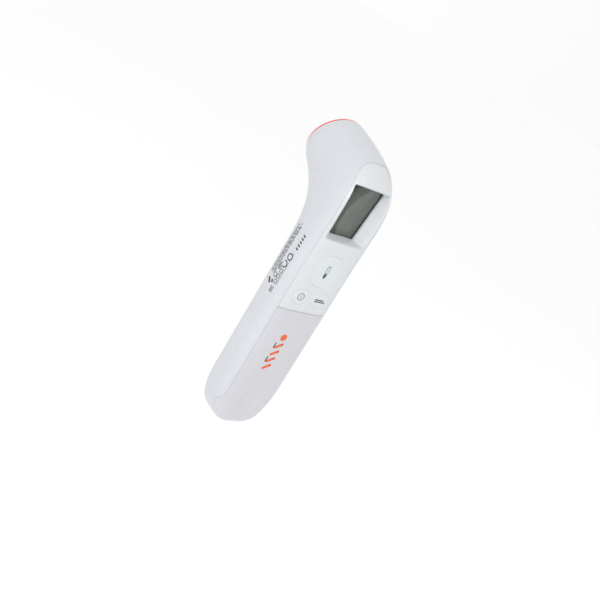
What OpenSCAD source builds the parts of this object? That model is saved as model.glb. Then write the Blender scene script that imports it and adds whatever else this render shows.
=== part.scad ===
// Hand-held infrared forehead thermometer, millimetres, +Z up along the handle.
// X runs to the user's right, -Y is the display side and the probe points to +Y.
// The origin is under the middle of the overall box, at the height of the handle's lower end.

/* [Handle] */
// Width of the handle
handle_w = 36.5; // [33:0.5:44]
// Depth of the handle from the front face to the back
handle_d = 20.2; // [19.6:0.2:25]
// Height of the display's lower edge above the point where the handle starts to bend
bend_drop = 20; // [8:1:28]
// Height over which the lower end rounds off
end_h = 26; // [18:1:34]
// Squareness of the front corners, 2 is an ellipse
front_corner = 3.8; // [3.2:0.1:4.6]
// Squareness of the back corners, 2 is an ellipse
back_corner = 3.2; // [2.8:0.1:4]
// Wall of the housing
wall = 2; // [1.6:0.1:2.4]

/* [Probe] */
// Upward tilt of the probe from level
probe_tilt = 25; // [15:1:32]
// Half angle of the tapering probe
probe_taper = 14; // [8:1:18]
// Radius of the probe's tip
tip_r = 13.8; // [13:0.1:16]
// Distance of the tip behind the handle's centre line
tip_y = 31.6; // [28:0.2:38]
// Height of the tip's centre below the front panel's upper edge
tip_drop = 4.4; // [0:0.2:9]
// Thickness of the coloured rim on the tip
rim_t = 1.1; // [0.8:0.1:2]

/* [Front panel] */
// Half width between the side seams
seam_x = 14.8; // [13.8:0.1:15.4]
// Height of the seam between the battery cover and the panel above the battery tray
cover_rise = 9.6; // [8:0.1:14]
// Length of the panel above the display
brow_len = 11.8; // [9.4:0.2:13]
// Depth of the panel's surface below the housing's surface
panel_step = 0.35; // [0.2:0.05:0.5]
// Gap along the seams
seam_gap = 0.15; // [0.12:0.01:0.25]
// Gap round the keys
key_gap = 0.15; // [0.12:0.01:0.25]
// Travel of the keys
key_travel = 0.4; // [0.2:0.05:0.5]

/* [Display] */
// Half width of the recess at the surface
recess_x = 12.6; // [11:0.1:13]
// Height of the recess's sloped wall below the display
recess_sill = 1.2; // [0.8:0.1:2]
// Height of the recess's sloped wall above the display
recess_brow = 1.4; // [1:0.1:2]
// Depth of the recess below the handle's front face
recess_depth = 4.7; // [4.6:0.1:5.6]
// Half width of the visible display at its lower edge
view_x = 8; // [6:0.1:10]
// Half width of the visible display at its upper edge
view_top_x = 10.6; // [8:0.1:10.8]
// Height of the visible display
view_h = 25.2; // [20:0.2:31]
// Height of the display's lower edge above the battery cover's seam
view_rise = 40; // [34:0.5:48]

/* [Batteries] */
// Diameter of a cell
cell_d = 10.5; // [9.8:0.1:10.6]
// Length of a cell over its terminals
cell_len = 44.5; // [42:0.1:44.6]
// Height of the battery tray's lower face
tray_z = 9.5; // [9:0.1:10.5]

/* [Hidden] */

// Curve fineness of the housing
ring_points = 40;
end_rings = 10;
bend_rings = 13;
probe_rings = 2;
end_squareness = 2.35;
end_round = 7.5;
probe_cone_len = 5.8;
back_pull = 0.42;
front_pull = 0.65;

half_w = handle_w / 2;
half_d = handle_d / 2;
tray_wall = 1.2;
contact_t = 0.4;
spring_len = 3;
bay_z0 = tray_z + tray_wall;
bay_z1 = bay_z0 + 2 * contact_t + spring_len + cell_len + 0.2;
tray_z1 = bay_z1 + tray_wall;

// Heights up the front: each piece stands on the one below it
cover_top = tray_z1 + cover_rise;
view_z0 = cover_top + view_rise;
view_z1 = view_z0 + view_h;
recess_z0 = view_z0 - recess_sill;
recess_z1 = view_z1 + recess_brow;
panel_top = view_z1 + brow_len;
bend_z = view_z0 - bend_drop;
tip_z = panel_top - tip_drop;
probe_u = [-sin(probe_tilt), cos(probe_tilt)];
probe_n = [cos(probe_tilt), sin(probe_tilt)];
tip = [tip_y, tip_z];
far = 60;
eps = 0.01;

// ---- Housing surface, as rings between a back point and a front point ----

function bezier(a, b, c, d, t) =
    pow(1 - t, 3) * a + 3 * pow(1 - t, 2) * t * b + 3 * (1 - t) * t * t * c + pow(t, 3) * d;
function smooth(t) = t * t * (3 - 2 * t);
function signed_power(v, p) = sign(v) * pow(abs(v), p);

// Point on the probe's taper, s behind the tip, on the back side (-1) or the front side (+1)
function taper_r(s, inset) = tip_r + s * tan(probe_taper) - inset / cos(probe_taper);
function taper_point(s, side, inset) = tip - probe_n * s + side * probe_u * taper_r(s, inset);

// One ring: [back point, front point, half width, front squareness, back squareness]
function end_ring(k, inset) =
    let (
        h = end_h - inset,
        z = h * (1 - cos(k)),
        r = max(end_round - inset, 3),
        half = (half_w - inset) * pow(1 - pow(max(0, 1 - z / h), end_squareness), 1 / end_squareness),
        drop = r * (1 - sqrt(1 - pow(max(0, 1 - z / r), 2))),
        y = half_d - inset - drop
    )
    [[y, inset + z], [-y, inset + z], half, front_corner, back_corner];
function end_list(inset) =
    [for (i = [0:end_rings - 1]) end_ring(5 + 85 * i / (end_rings - 1), inset)];
// Curves of the back and of the front from the straight handle into the probe's taper
function head_curve(start, end, angle, pull, t) =
    let (len = norm(end - start) * pull)
    bezier(start, start + [0, len], end - [cos(angle), sin(angle)] * len, end, t);
function back_curve(inset, t) = head_curve([half_d - inset, bend_z],
    taper_point(probe_cone_len, -1, inset), probe_tilt + probe_taper, back_pull, t);
function front_curve(inset, t) = head_curve([-half_d + inset, bend_z],
    taper_point(probe_cone_len, 1, inset), probe_tilt - probe_taper, front_pull, t);
function bend_list(inset) =
    let (r3 = taper_r(probe_cone_len, inset))
    [for (i = [0:bend_rings])
        let (t = i / bend_rings, w = smooth(t))
        [back_curve(inset, t), front_curve(inset, t),
            half_w - inset + (r3 - half_w + inset) * w,
            front_corner + (2 - front_corner) * w,
            back_corner + (2 - back_corner) * w]];
function probe_list(inset, cut) =
    [for (i = [1:probe_rings])
        let (s = probe_cone_len + (cut - probe_cone_len) * i / probe_rings)
        [taper_point(s, -1, inset), taper_point(s, 1, inset), taper_r(s, inset), 2, 2]];
function housing_rings(inset, cut) = concat(end_list(inset), bend_list(inset), probe_list(inset, cut));

function ring_to_points(ring) =
    let (mid = (ring[0] + ring[1]) / 2, half = (ring[1] - ring[0]) / 2)
    [for (i = [0:ring_points - 1])
        let (
            a = 360 * i / ring_points,
            n = sin(a) > 0 ? ring[3] : ring[4],
            q = signed_power(sin(a), 2 / n)
        )
        [ring[2] * signed_power(cos(a), 2 / n), mid[0] + half[0] * q, mid[1] + half[1] * q]];

// Closed solid of the housing's outer form moved inwards by inset and cut off square,
// cut behind the tip (a negative cut ends it in front of the tip)
module housing_form(inset, cut) {
    rings = housing_rings(inset, cut);
    n = ring_points;
    last = len(rings) - 1;
    sides = [for (j = [0:last - 1], i = [0:n - 1])
        for (f = [[j * n + i, j * n + (i + 1) % n, (j + 1) * n + (i + 1) % n],
            [j * n + i, (j + 1) * n + (i + 1) % n, (j + 1) * n + i]]) f];
    low_end = [for (i = [1:n - 2]) [0, i + 1, i]];
    high_end = [for (i = [1:n - 2]) [last * n, last * n + i, last * n + i + 1]];
    polyhedron(points = [for (r = rings) each ring_to_points(r)],
        faces = concat(sides, low_end, high_end), convexity = 6);
}

// Middle of the overall depth: the panel's brow above the display is the foremost point
// and the lower edge of the probe's rim is the rearmost one
brow_points = [for (t = [0:0.01:1]) front_curve(panel_step, t)];
front_limit = min([for (p = brow_points) if (p[1] > recess_z1 + 0.8) p[0]]);
back_limit = tip_y + sin(probe_tilt) * (tip_r - 0.1) - cos(probe_tilt) * 0.2;
mid_y = (front_limit + back_limit) / 2;

// Moves a piece from the handle's centre line to the part's origin
module placed() {
    translate([0, -mid_y, 0]) children();
}
// Local frame on the probe's axis: the origin is in the middle of the tip, +Z points out of it
module at_probe() {
    translate([0, tip_y, tip_z]) rotate([probe_tilt - 90, 0, 0]) children();
}
// Prism along Y from y0 to y1 over an outline drawn in X and Z
module front_prism(y0, y1) {
    translate([0, y1, 0]) rotate([90, 0, 0]) linear_extrude(y1 - y0) children();
}
module box(lo, hi) {
    translate(lo) cube(hi - lo);
}
module rod_y(x, z, y0, y1, r) {
    translate([x, y0, z]) rotate([-90, 0, 0]) cylinder(r = r, h = y1 - y0, $fn = 40);
}

// ---- Outlines ----

arch_z = panel_top - 29;
arch_squareness = 2.8;
arch_steps = 14;
flare_steps = 6;
flare_x = 3.4;
flare_h = 12;
flare_z = 24;
// Panel and cover seam, g inside the seam line, from z0 up to the arch. The arch starts on the
// right-hand side. Near the lower end the seam flares outwards onto the sides of the handle.
module front_outline(g, z0) {
    top = [for (i = [0:2 * arch_steps])
        let (a = 90 * i / arch_steps)
        [(seam_x - g) * signed_power(cos(a), 2 / arch_squareness),
            arch_z + (panel_top - arch_z - g) * pow(abs(sin(a)), 2 / arch_squareness)]];
    flare = [for (i = [0:flare_steps])
        let (a = 90 * i / flare_steps)
        [seam_x - g * cos(a) + flare_x * (1 - cos(a)), flare_z - (flare_h + g) * sin(a)]];
    low = [[seam_x + flare_x, z0]];
    left = concat([for (p = flare) [-p[0], p[1]]], [[-low[0][0], z0]]);
    right = concat(low, [for (i = [0:flare_steps]) flare[flare_steps - i]]);
    polygon(z0 < flare_z ? concat(left, right, top)
        : concat([[g - seam_x, z0], [seam_x - g, z0]], top));
}
// The part of the panel above the handle, whose edge lies further back
module head_outline(g) {
    intersection() {
        front_outline(g, bend_z);
        translate([-far, bend_z]) square([2 * far, 2 * far]);
    }
}
// Rounded outline of a key
oval_steps = 40;
module oval(w, h, squareness) {
    polygon([for (i = [0:oval_steps - 1])
        let (a = 360 * i / oval_steps)
        [w / 2 * signed_power(cos(a), 2 / squareness), h / 2 * signed_power(sin(a), 2 / squareness)]]);
}

// ---- Heights and depths of the inside ----

panel_wall = 1.8;
panel_back = -half_d + panel_step + panel_wall;
end_split_y = -half_d + 5.1;
head_split_y = 3;
recess_y = -half_d + recess_depth;
recess_floor = 1.2;
lens_t = 0.8;
glass_t = 1.8;
guide_t = 1.1;
fit_gap = 0.1;
lens_y = recess_y + recess_floor + fit_gap;
glass_y = lens_y + lens_t + fit_gap;
guide_y = glass_y + glass_t + fit_gap;
board_y = guide_y + guide_t + fit_gap;
board_t = 1;
board_back = board_y + board_t;
board_x = 13;
board_corner = 5;
board_z0 = cover_top + 1;
board_z1 = view_z1 + 3.6;

// Keys: [x, z, width, height, squareness]
small_key_rise = 8;
scan_key_rise = 14.5;
scan_key_h = recess_z0 - cover_top - scan_key_rise - 7.3;
scan_spec = [0, cover_top + scan_key_rise + scan_key_h / 2, 16, scan_key_h, 2.3];
power_spec = [-6.2, cover_top + small_key_rise, 9.4, 8, 2.3];
memory_spec = [6.2, cover_top + small_key_rise, 9.4, 8, 2.3];
key_specs = [scan_spec, power_spec, memory_spec];
key_flange = 0.8;
key_flange_t = 0.8;
key_rest_gap = 0.15;
// Depth of the housing's front surface at a distance x from the middle of the handle
function front_y(x, inset) =
    -(half_d - inset) * pow(1 - pow(abs(x) / (half_w - inset), front_corner), 1 / front_corner);
function flange_y(spec) =
    front_y(abs(spec[0]) + spec[2] / 2 + key_flange, panel_step + panel_wall) + key_rest_gap;
stem_r = 1.5;
switch_size = 5.2;
switch_body = 1.2;
switch_plunger = 0.4;
switch_y = board_y - switch_body - switch_plunger;
stem_y = switch_y - key_travel - 0.15;

// Bosses of the panel that hold the board
boss_r = 2.1;
screw_r = 0.9;
screw_bore_r = 0.95;
board_screw_at = [for (x = [-11.3, 11.3], z = [cover_top + 16.5, recess_z0 - 5.7]) [x, z]];
board_screw_len = 5.5;
// Screws that hold the panel to the housing, hidden by the battery cover
case_screw_at = [for (x = [-9.6, 9.6]) [x, cover_top - 4.6]];
tongue_y = -half_d + 4.4;
tongue_t = 1.5;
tongue_x = 12.2;
tongue_z = cover_top - 8.4;
case_boss_r = 2.5;
case_screw_len = 7;
screw_head_r = 1.9;
screw_head_t = 1.1;

// Rails of the battery cover
rail_y0 = -half_d + 2.7;
rail_t = 0.8;
rail_x = 0.55;
rail_gap = 0.12;
rail_z0 = end_h;

// Battery bay
cell_gap = 0.15;
cell_x = cell_d / 2 + 0.35;
tray_back = half_d - wall - 1.5;
cell_y = tray_back - tray_wall - cell_gap - cell_d / 2;
tray_x = cell_x + cell_d / 2 + cell_gap + tray_wall;
nub_r = 1.9;
nub_h = 0.8;

// Sensor stack on the probe's axis
mouth_r = tip_r - 4.6;
throat_r = 3.6;
throat_z = -13.5;
cone_wall_r = mouth_r + 0.25;
barrel_r = 5.7;
rim_bore_r = cone_wall_r + 0.15;
spigot_r = taper_r(rim_t, wall) - 0.15;
spigot_t = 1.1;
holder_z = -4.2;
holder_t = 1.4;
can_r = 4.1;
can_flange_r = 4.55;
seat_r = 4.65;
can_z = throat_z - 0.9;
can_h = 3.6;
can_flange_t = 0.6;
window_r = 2.7;
window_t = 0.4;
pin_r = 0.22;
pin_circle_r = 2.54;
barrel_end = can_z - can_h - can_flange_t - 1;
holder_end = barrel_end - 1.5;
sensor_board_z = holder_end - fit_gap - 1;
sensor_board_r = 6.8;

// ---- Housing ----

module main_shell() {
    color("#E4E5E8") placed() {
        difference() {
            housing_form(0, rim_t);
            housing_form(wall, -3);
            front_prism(-far, end_split_y) front_outline(0, -1);
            front_prism(-far, head_split_y) head_outline(0);
            for (side = [-1, 1])
                translate([side * (seam_x - 1), rail_y0 - rail_gap, -1]) mirror([side < 0 ? 1 : 0, 0, 0])
                    cube([1 + rail_x + 2 * rail_gap, rail_t + 2 * rail_gap, cover_top + 2]);
        }
        case_bosses();
        for (side = [-1, 1]) side_ledge(side);
    }
}
// Strip behind the side seams that the panel's and the cover's edges lie over
ledge_x = seam_x - 1.2;
ledge_y = max(front_y(seam_x, panel_step + panel_wall) + 0.15, rail_y0 + rail_t + rail_gap + 0.2);
module side_ledge(side) {
    x1 = half_w - wall * 0.9;
    mirror([side < 0 ? 1 : 0, 0, 0]) box([ledge_x, ledge_y, end_h], [x1, ledge_y + 1.4, bend_z]);
}
module case_bosses() {
    for (p = case_screw_at) difference() {
        rod_y(p[0], p[1], tongue_y + tongue_t + fit_gap, half_d - wall * 0.75, case_boss_r);
        rod_y(p[0], p[1], tongue_y, tongue_y + case_screw_len + 1, screw_bore_r);
    }
}

// Recess with sloped walls: its floor is the display's outline, and the slopes run from the floor
// edge to the surface edge and on past the surface
module recess_form(grow, y_floor) {
    y_edge = -half_d + 0.1;
    y_front = -half_d - 6;
    reach = (recess_y - y_front) / (recess_y - y_edge);
    low_x = view_x + (recess_x - view_x) * reach + grow;
    high_x = view_top_x + (recess_x - view_top_x) * reach + grow;
    low_z = view_z0 + (recess_z0 - view_z0) * reach - grow;
    high_z = view_z1 + (recess_z1 - view_z1) * reach + grow;
    x0 = view_x + grow;
    x1 = view_top_x + grow;
    z0 = view_z0 - grow;
    z1 = view_z1 + grow;
    polyhedron(points = [
        [-x0, y_floor, z0], [x0, y_floor, z0], [x1, y_floor, z1], [-x1, y_floor, z1],
        [-low_x, y_front, low_z], [low_x, y_front, low_z],
        [high_x, y_front, high_z], [-high_x, y_front, high_z]],
        faces = [[0, 1, 2, 3], [7, 6, 5, 4], [4, 5, 1, 0], [6, 7, 3, 2],
            [5, 6, 2], [5, 2, 1], [7, 4, 0], [7, 0, 3]]);
}
recess_wall = 1.3;
module front_panel() {
    color("#E6E7E9") placed() difference() {
        union() {
            difference() {
                intersection() {
                    housing_form(panel_step, -3);
                    union() {
                        front_prism(-far, end_split_y) front_outline(seam_gap, cover_top + seam_gap);
                        front_prism(-far, head_split_y - seam_gap) head_outline(seam_gap);
                    }
                }
                housing_form(panel_step + panel_wall, -4);
            }
            intersection() {
                housing_form(panel_step + 0.3, -3);
                recess_form(recess_wall, recess_y + recess_floor);
                front_prism(-far, far) front_outline(seam_gap, cover_top);
            }
            for (p = board_screw_at) rod_y(p[0], p[1], panel_back - 0.6, board_y - fit_gap / 2, boss_r);
            box([-tongue_x, panel_back - 0.4, cover_top + 0.4],
                [tongue_x, tongue_y + tongue_t, cover_top + 2]);
            box([-tongue_x, tongue_y, tongue_z], [tongue_x, tongue_y + tongue_t, cover_top + 2]);
        }
        recess_form(0, recess_y);
        front_prism(recess_y - 1, recess_y + 2)
            polygon([[-view_x, view_z0], [view_x, view_z0], [view_top_x, view_z1], [-view_top_x, view_z1]]);
        for (k = key_specs) front_prism(-far, board_y - 4)
            translate([k[0], k[1]]) oval(k[2] + 2 * key_gap, k[3] + 2 * key_gap, k[4]);
        for (p = board_screw_at) rod_y(p[0], p[1], board_y - board_screw_len, board_y + 1, screw_bore_r);
        for (p = case_screw_at) rod_y(p[0], p[1], tongue_y - 1, tongue_y + tongue_t + 1, screw_r + 0.25);
    }
}

dimple_r = 26;
dimple_depth = 0.9;
dimple_z = 16;
module battery_cover() {
    color("#E0E1E4") placed() {
        difference() {
            intersection() {
                housing_form(0, 0);
                front_prism(-far, end_split_y - seam_gap) difference() {
                    front_outline(seam_gap, -1);
                    translate([-far, cover_top - seam_gap]) square([2 * far, 2 * far]);
                }
            }
            housing_form(wall, -3);
            translate([0, -half_d - dimple_r + dimple_depth, dimple_z]) sphere(r = dimple_r, $fn = 96);
        }
        for (side = [-1, 1]) mirror([side < 0 ? 1 : 0, 0, 0])
            box([seam_x - seam_gap - 0.6, rail_y0, rail_z0],
                [seam_x + rail_x, rail_y0 + rail_t, cover_top - 1]);
    }
}

// ---- Probe and sensor ----

module probe_rim() {
    edge_r = taper_r(0, 0) - 0.1;
    color("#D8432B") placed() at_probe() rotate_extrude($fn = 96) polygon([
        [rim_bore_r, -rim_t + 0.05], [rim_bore_r, -0.45], [rim_bore_r + 0.45, 0], [edge_r - 0.4, 0],
        [edge_r, -0.4], [edge_r, -rim_t + 0.05], [spigot_r, -rim_t + 0.05], [spigot_r, holder_z + 0.2],
        [spigot_r - spigot_t, holder_z + 0.2], [spigot_r - spigot_t, -rim_t + 0.05]]);
}
module probe_cone() {
    color("#C9CCD0") placed() at_probe() rotate_extrude($fn = 96) polygon([
        [mouth_r, -0.5], [throat_r, throat_z], [throat_r, throat_z - 0.7], [seat_r, throat_z - 0.7],
        [seat_r, barrel_end], [barrel_r, barrel_end], [barrel_r, throat_z + 1.1],
        [cone_wall_r, -3.6], [cone_wall_r, -0.5]]);
}
module sensor_holder() {
    slack = 0.15;
    flange_r = taper_r(-holder_z, wall) - 0.3;
    slope = (cone_wall_r - barrel_r) / (-3.6 - throat_z - 1.1);
    top_r = barrel_r + slack + slope * (holder_z - throat_z - 1.1) + 0.2;
    color("#3A3C40") placed() at_probe() rotate_extrude($fn = 96) polygon([
        [barrel_r + slack, holder_end], [barrel_r + 1.5, holder_end], [barrel_r + 1.5, throat_z + 0.3],
        [top_r + 1.2, holder_z - holder_t], [flange_r, holder_z - holder_t], [flange_r, holder_z],
        [top_r, holder_z], [barrel_r + slack, throat_z + 0.9]]);
}
module thermopile_can() {
    color("#B9BBBD") placed() at_probe() difference() {
        union() {
            translate([0, 0, can_z - can_h]) cylinder(r = can_r, h = can_h, $fn = 64);
            translate([0, 0, can_z - can_h - can_flange_t])
                cylinder(r = can_flange_r, h = can_flange_t, $fn = 64);
        }
        translate([0, 0, can_z - window_t - 0.1]) cylinder(r = window_r + 0.05, h = 1, $fn = 48);
    }
}
module infrared_window() {
    color("#4E5058") placed() at_probe()
        translate([0, 0, can_z - window_t - 0.1]) cylinder(r = window_r, h = window_t, $fn = 48);
}
module sensor_pins() {
    color("#C8A24A") placed() at_probe() for (i = [0:3])
        rotate([0, 0, 45 + 90 * i])
            translate([pin_circle_r, 0, sensor_board_z - 0.8])
                cylinder(r = pin_r, h = can_z - can_h - can_flange_t - sensor_board_z + 0.8, $fn = 24);
}
module sensor_board() {
    color("#2E6B4A") placed() at_probe() difference() {
        translate([0, 0, sensor_board_z]) cylinder(r = sensor_board_r, h = 1, $fn = 64);
        for (i = [0:3]) rotate([0, 0, 45 + 90 * i])
            translate([pin_circle_r, 0, sensor_board_z - 1]) cylinder(r = pin_r + 0.1, h = 3, $fn = 24);
    }
}
// Flat flexible lead from the sensor board down to the back of the main board
ribbon_t = 0.25;
ribbon_w = 7;
ribbon_steps = 12;
module sensor_ribbon() {
    start = tip + probe_n * (sensor_board_z - 0.2) - probe_u * 3.6;
    stop = [board_back + 0.2, board_z1 - 16];
    start_dir = -probe_u;
    path = [for (i = [0:ribbon_steps])
        bezier(start, start - probe_n * 1 + start_dir * 4, stop + [1.5, 6], stop, i / ribbon_steps)];
    side = [for (i = [0:ribbon_steps])
        let (d = path[min(i + 1, ribbon_steps)] - path[max(i - 1, 0)])
        [d[1], -d[0]] / norm(d) * ribbon_t / 2];
    tail = [stop[0], stop[1] - 5];
    left = [for (i = [0:ribbon_steps]) path[i] + side[i]];
    right = [for (i = [0:ribbon_steps]) path[ribbon_steps - i] - side[ribbon_steps - i]];
    color("#B98A3E") placed() rotate([90, 0, 90]) translate([0, 0, -ribbon_w / 2])
        linear_extrude(ribbon_w) polygon(concat(left,
            [tail + side[ribbon_steps]], [tail - side[ribbon_steps]], right));
}

// ---- Display ----

lens_x = view_top_x + 0.2;
module display_lens() {
    color([0.85, 0.9, 0.92, 0.4]) placed()
        box([-lens_x, lens_y, view_z0 - 1], [lens_x, lens_y + lens_t, view_z1 + 0.4]);
}
glass_x = view_top_x + 0.3;
glass_z0 = view_z0 - 3;
glass_z1 = view_z1 + 0.5;
module display_glass() {
    color("#6C756B") placed()
        box([-glass_x, glass_y, glass_z0], [glass_x, glass_y + glass_t, glass_z1]);
}
module display_frame() {
    rim = 0.8;
    x = glass_x + rim;
    z0 = glass_z0 - rim;
    z1 = glass_z1 + rim;
    corner = rim + 0.5;
    color("#F0F0EE") placed() difference() {
        front_prism(lens_y, board_y - fit_gap / 2) polygon([[-x, z0], [x, z0], [x, z1 - corner],
            [x - corner, z1], [corner - x, z1], [-x, z1 - corner]]);
        box([-glass_x - fit_gap, lens_y - 1, glass_z0 - fit_gap],
            [glass_x + fit_gap, board_y + 1, glass_z1 + fit_gap]);
    }
}
module light_guide() {
    color("#DDEBD8") placed()
        box([-lens_x, guide_y, view_z0], [lens_x, guide_y + guide_t, glass_z1 - 0.2]);
}
module contact_strip() {
    color("#D98BA0") placed()
        box([-lens_x, guide_y - fit_gap / 2, glass_z0 + 0.2],
            [lens_x, board_y - fit_gap / 2, glass_z0 + 2.2]);
}

// ---- Electronics ----

module main_board() {
    color("#2E6B4A") placed() difference() {
        front_prism(board_y, board_back) polygon([
            [-board_x, board_z0], [board_x, board_z0], [board_x, board_z1 - board_corner],
            [board_x - board_corner, board_z1], [board_corner - board_x, board_z1],
            [-board_x, board_z1 - board_corner]]);
        for (p = board_screw_at) rod_y(p[0], p[1], board_y - 1, board_back + 1, screw_r + 0.25);
        for (x = [-5.7, 5.7])
            box([x - 1.7, board_y - 1, board_z0 - 1], [x + 1.7, board_back + 1, board_z0 + 1.2]);
    }
}
chip_size = 7;
chip_t = 1.2;
chip_at = [0, recess_z0 + 3.2];
lead_pitch = 0.8;
leads_per_side = 7;
module controller_chip() {
    color("#26272A") placed() translate([chip_at[0], board_back + 0.05, chip_at[1]]) rotate([-90, 0, 0]) {
        translate([-chip_size / 2, -chip_size / 2, 0.1]) cube([chip_size, chip_size, chip_t]);
        for (turn = [0:90:270]) rotate([0, 0, turn]) for (i = [0:leads_per_side - 1])
            translate([(i - (leads_per_side - 1) / 2) * lead_pitch - 0.15, chip_size / 2 - 0.2, 0])
                cube([0.3, 1.1, 0.4]);
    }
}
// Small parts on the back of the board: [x, z from the chip, width, height, thickness]
chip_parts = [
    [-8.5, -2, 1.6, 3.2, 0.9], [-8.5, 3, 1.6, 3.2, 0.9], [8.5, -3, 1.6, 3.2, 0.9],
    [8.5, 2, 1.6, 3.2, 0.9], [-6, -14.5, 2, 1.2, 0.6], [6.4, -14.5, 2, 1.2, 0.6],
    [-6, 10.5, 3.2, 1.6, 1.2], [6.5, 10.5, 3.2, 1.6, 1.2], [0, -8.4, 4.6, 1.8, 1.4]];
// The same near the battery contacts, with z from the board's lower edge
power_parts = [[-7, 4, 2, 1.2, 0.6], [7, 4, 2, 1.2, 0.6], [0, 6, 3.4, 3.4, 1.5]];
module small_part(c, z0) {
    translate([c[0] - c[2] / 2, board_back + 0.05, z0 + c[1] - c[3] / 2]) cube([c[2], c[4], c[3]]);
}
module board_components() {
    color("#B79A6A") placed() {
        for (c = chip_parts) small_part(c, chip_at[1]);
        for (c = power_parts) small_part(c, board_z0);
    }
}
module key_switches() {
    color("#4A4C50") placed() for (k = key_specs) {
        box([k[0] - switch_size / 2, board_y - switch_body - 0.05, k[1] - switch_size / 2],
            [k[0] + switch_size / 2, board_y - 0.05, k[1] + switch_size / 2]);
        rod_y(k[0], k[1], switch_y, board_y - switch_body, 1.2);
    }
}
buzzer_z = cover_top + 19;
buzzer_r = 4.5;
buzzer_t = 2.8;
module buzzer() {
    color("#2B2C2F") placed() difference() {
        rod_y(0, buzzer_z, board_back + 0.05, board_back + 0.05 + buzzer_t, buzzer_r);
        rod_y(0, buzzer_z, board_back + 1, board_back + 5, 0.9);
    }
}

// ---- Keys ----

module key(spec) {
    placed() {
        intersection() {
            housing_form(panel_step, -3);
            front_prism(-far, flange_y(spec) + 0.2)
                translate([spec[0], spec[1]]) oval(spec[2], spec[3], spec[4]);
        }
        front_prism(flange_y(spec), flange_y(spec) + key_flange_t)
            translate([spec[0], spec[1]]) oval(spec[2] + 2 * key_flange, spec[3] + 2 * key_flange, spec[4]);
        rod_y(spec[0], spec[1], flange_y(spec) + 0.1, stem_y, stem_r);
    }
}
module scan_key() {
    color("#E9EAEC") key(scan_spec);
}
module power_key() {
    color("#E9EAEC") key(power_spec);
}
module memory_key() {
    color("#E9EAEC") key(memory_spec);
}

// ---- Batteries ----

// Plan of the tray, g inside its outer faces, with cut-off back corners
tray_corner = 3;
module tray_plan(g) {
    front = cell_y - cell_d * 0.18;
    x = tray_x - g;
    y = tray_back - g;
    c = tray_corner - g * (2 - sqrt(2));
    polygon([[-x, front - g], [x, front - g], [x, y - c], [x - c, y], [c - x, y], [-x, y - c]]);
}
module battery_tray() {
    color("#D6D8DB") placed() difference() {
        translate([0, 0, tray_z]) linear_extrude(tray_z1 - tray_z) tray_plan(0);
        translate([0, 0, bay_z0]) linear_extrude(bay_z1 - bay_z0) tray_plan(tray_wall);
        for (x = [-cell_x, cell_x])
            box([x - 1.2, cell_y - 1.6, bay_z1 - 1], [x + 1.2, cell_y + 3, tray_z1 + 1]);
    }
}
// A cell standing on its flat end at z0, or turned over
module cell(x, z0, turned) {
    translate([x, cell_y, z0 + (turned ? cell_len : 0)]) mirror([0, 0, turned ? 1 : 0]) {
        cylinder(r = cell_d / 2, h = cell_len - nub_h, $fn = 64);
        cylinder(r = nub_r, h = cell_len, $fn = 40);
    }
}
left_cell_z = bay_z0 + contact_t + 0.05;
right_cell_z = bay_z0 + contact_t + spring_len + 0.1;
module battery_left() {
    color("#C9892F") placed() cell(-cell_x, left_cell_z, true);
}
module battery_right() {
    color("#C9892F") placed() cell(cell_x, right_cell_z, false);
}
spring_r = 2.6;
spring_wire = 0.5;
spring_turns = 3;
spring_rings = 40;
spring_sides = 8;
module coil(x, z0) {
    h = spring_len - spring_wire - 0.1;
    taper = 0.9;
    points = [for (i = [0:spring_rings], j = [0:spring_sides - 1])
        let (
            t = i / spring_rings,
            a = 360 * spring_turns * t,
            b = 360 * j / spring_sides,
            r = spring_r - taper * t + spring_wire / 2 * cos(b)
        )
        [r * cos(a), r * sin(a), h * t + spring_wire / 2 * sin(b)]];
    n = spring_sides;
    sides = [for (i = [0:spring_rings - 1], j = [0:n - 1])
        for (f = [[i * n + j, (i + 1) * n + (j + 1) % n, i * n + (j + 1) % n],
            [i * n + j, (i + 1) * n + j, (i + 1) * n + (j + 1) % n]]) f];
    caps = [for (j = [1:n - 2]) for (f = [[0, j, j + 1],
        [spring_rings * n, spring_rings * n + j + 1, spring_rings * n + j]]) f];
    translate([x, cell_y, z0 + spring_wire / 2 + 0.05])
        polyhedron(points = points, faces = concat(sides, caps));
}
module contact_springs() {
    color("#C6C8CA") placed() {
        coil(cell_x, bay_z0 + contact_t);
        translate([0, 0, 2 * left_cell_z + 2 * cell_len + spring_len])
            mirror([0, 0, 1]) coil(-cell_x, left_cell_z + cell_len);
    }
}
contact_x = 3.6;
contact_y = 3.4;
module lower_contact() {
    color("#C6C8CA") placed()
        box([-cell_x - contact_x, cell_y - contact_y, bay_z0 + 0.02],
            [cell_x + contact_x, cell_y + contact_y, bay_z0 + contact_t]);
}
module upper_contacts() {
    tab_y = board_back + 0.1;
    color("#C6C8CA") placed() for (x = [-cell_x, cell_x]) {
        box([x - contact_x, cell_y - contact_y, bay_z1 - contact_t - 0.05],
            [x + contact_x, cell_y + contact_y, bay_z1 - 0.05]);
        box([x - 1, tab_y, bay_z1 - contact_t - 0.05], [x + 1, tab_y + contact_t, board_z0 + 3.4]);
    }
}

// ---- Fasteners ----

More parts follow.
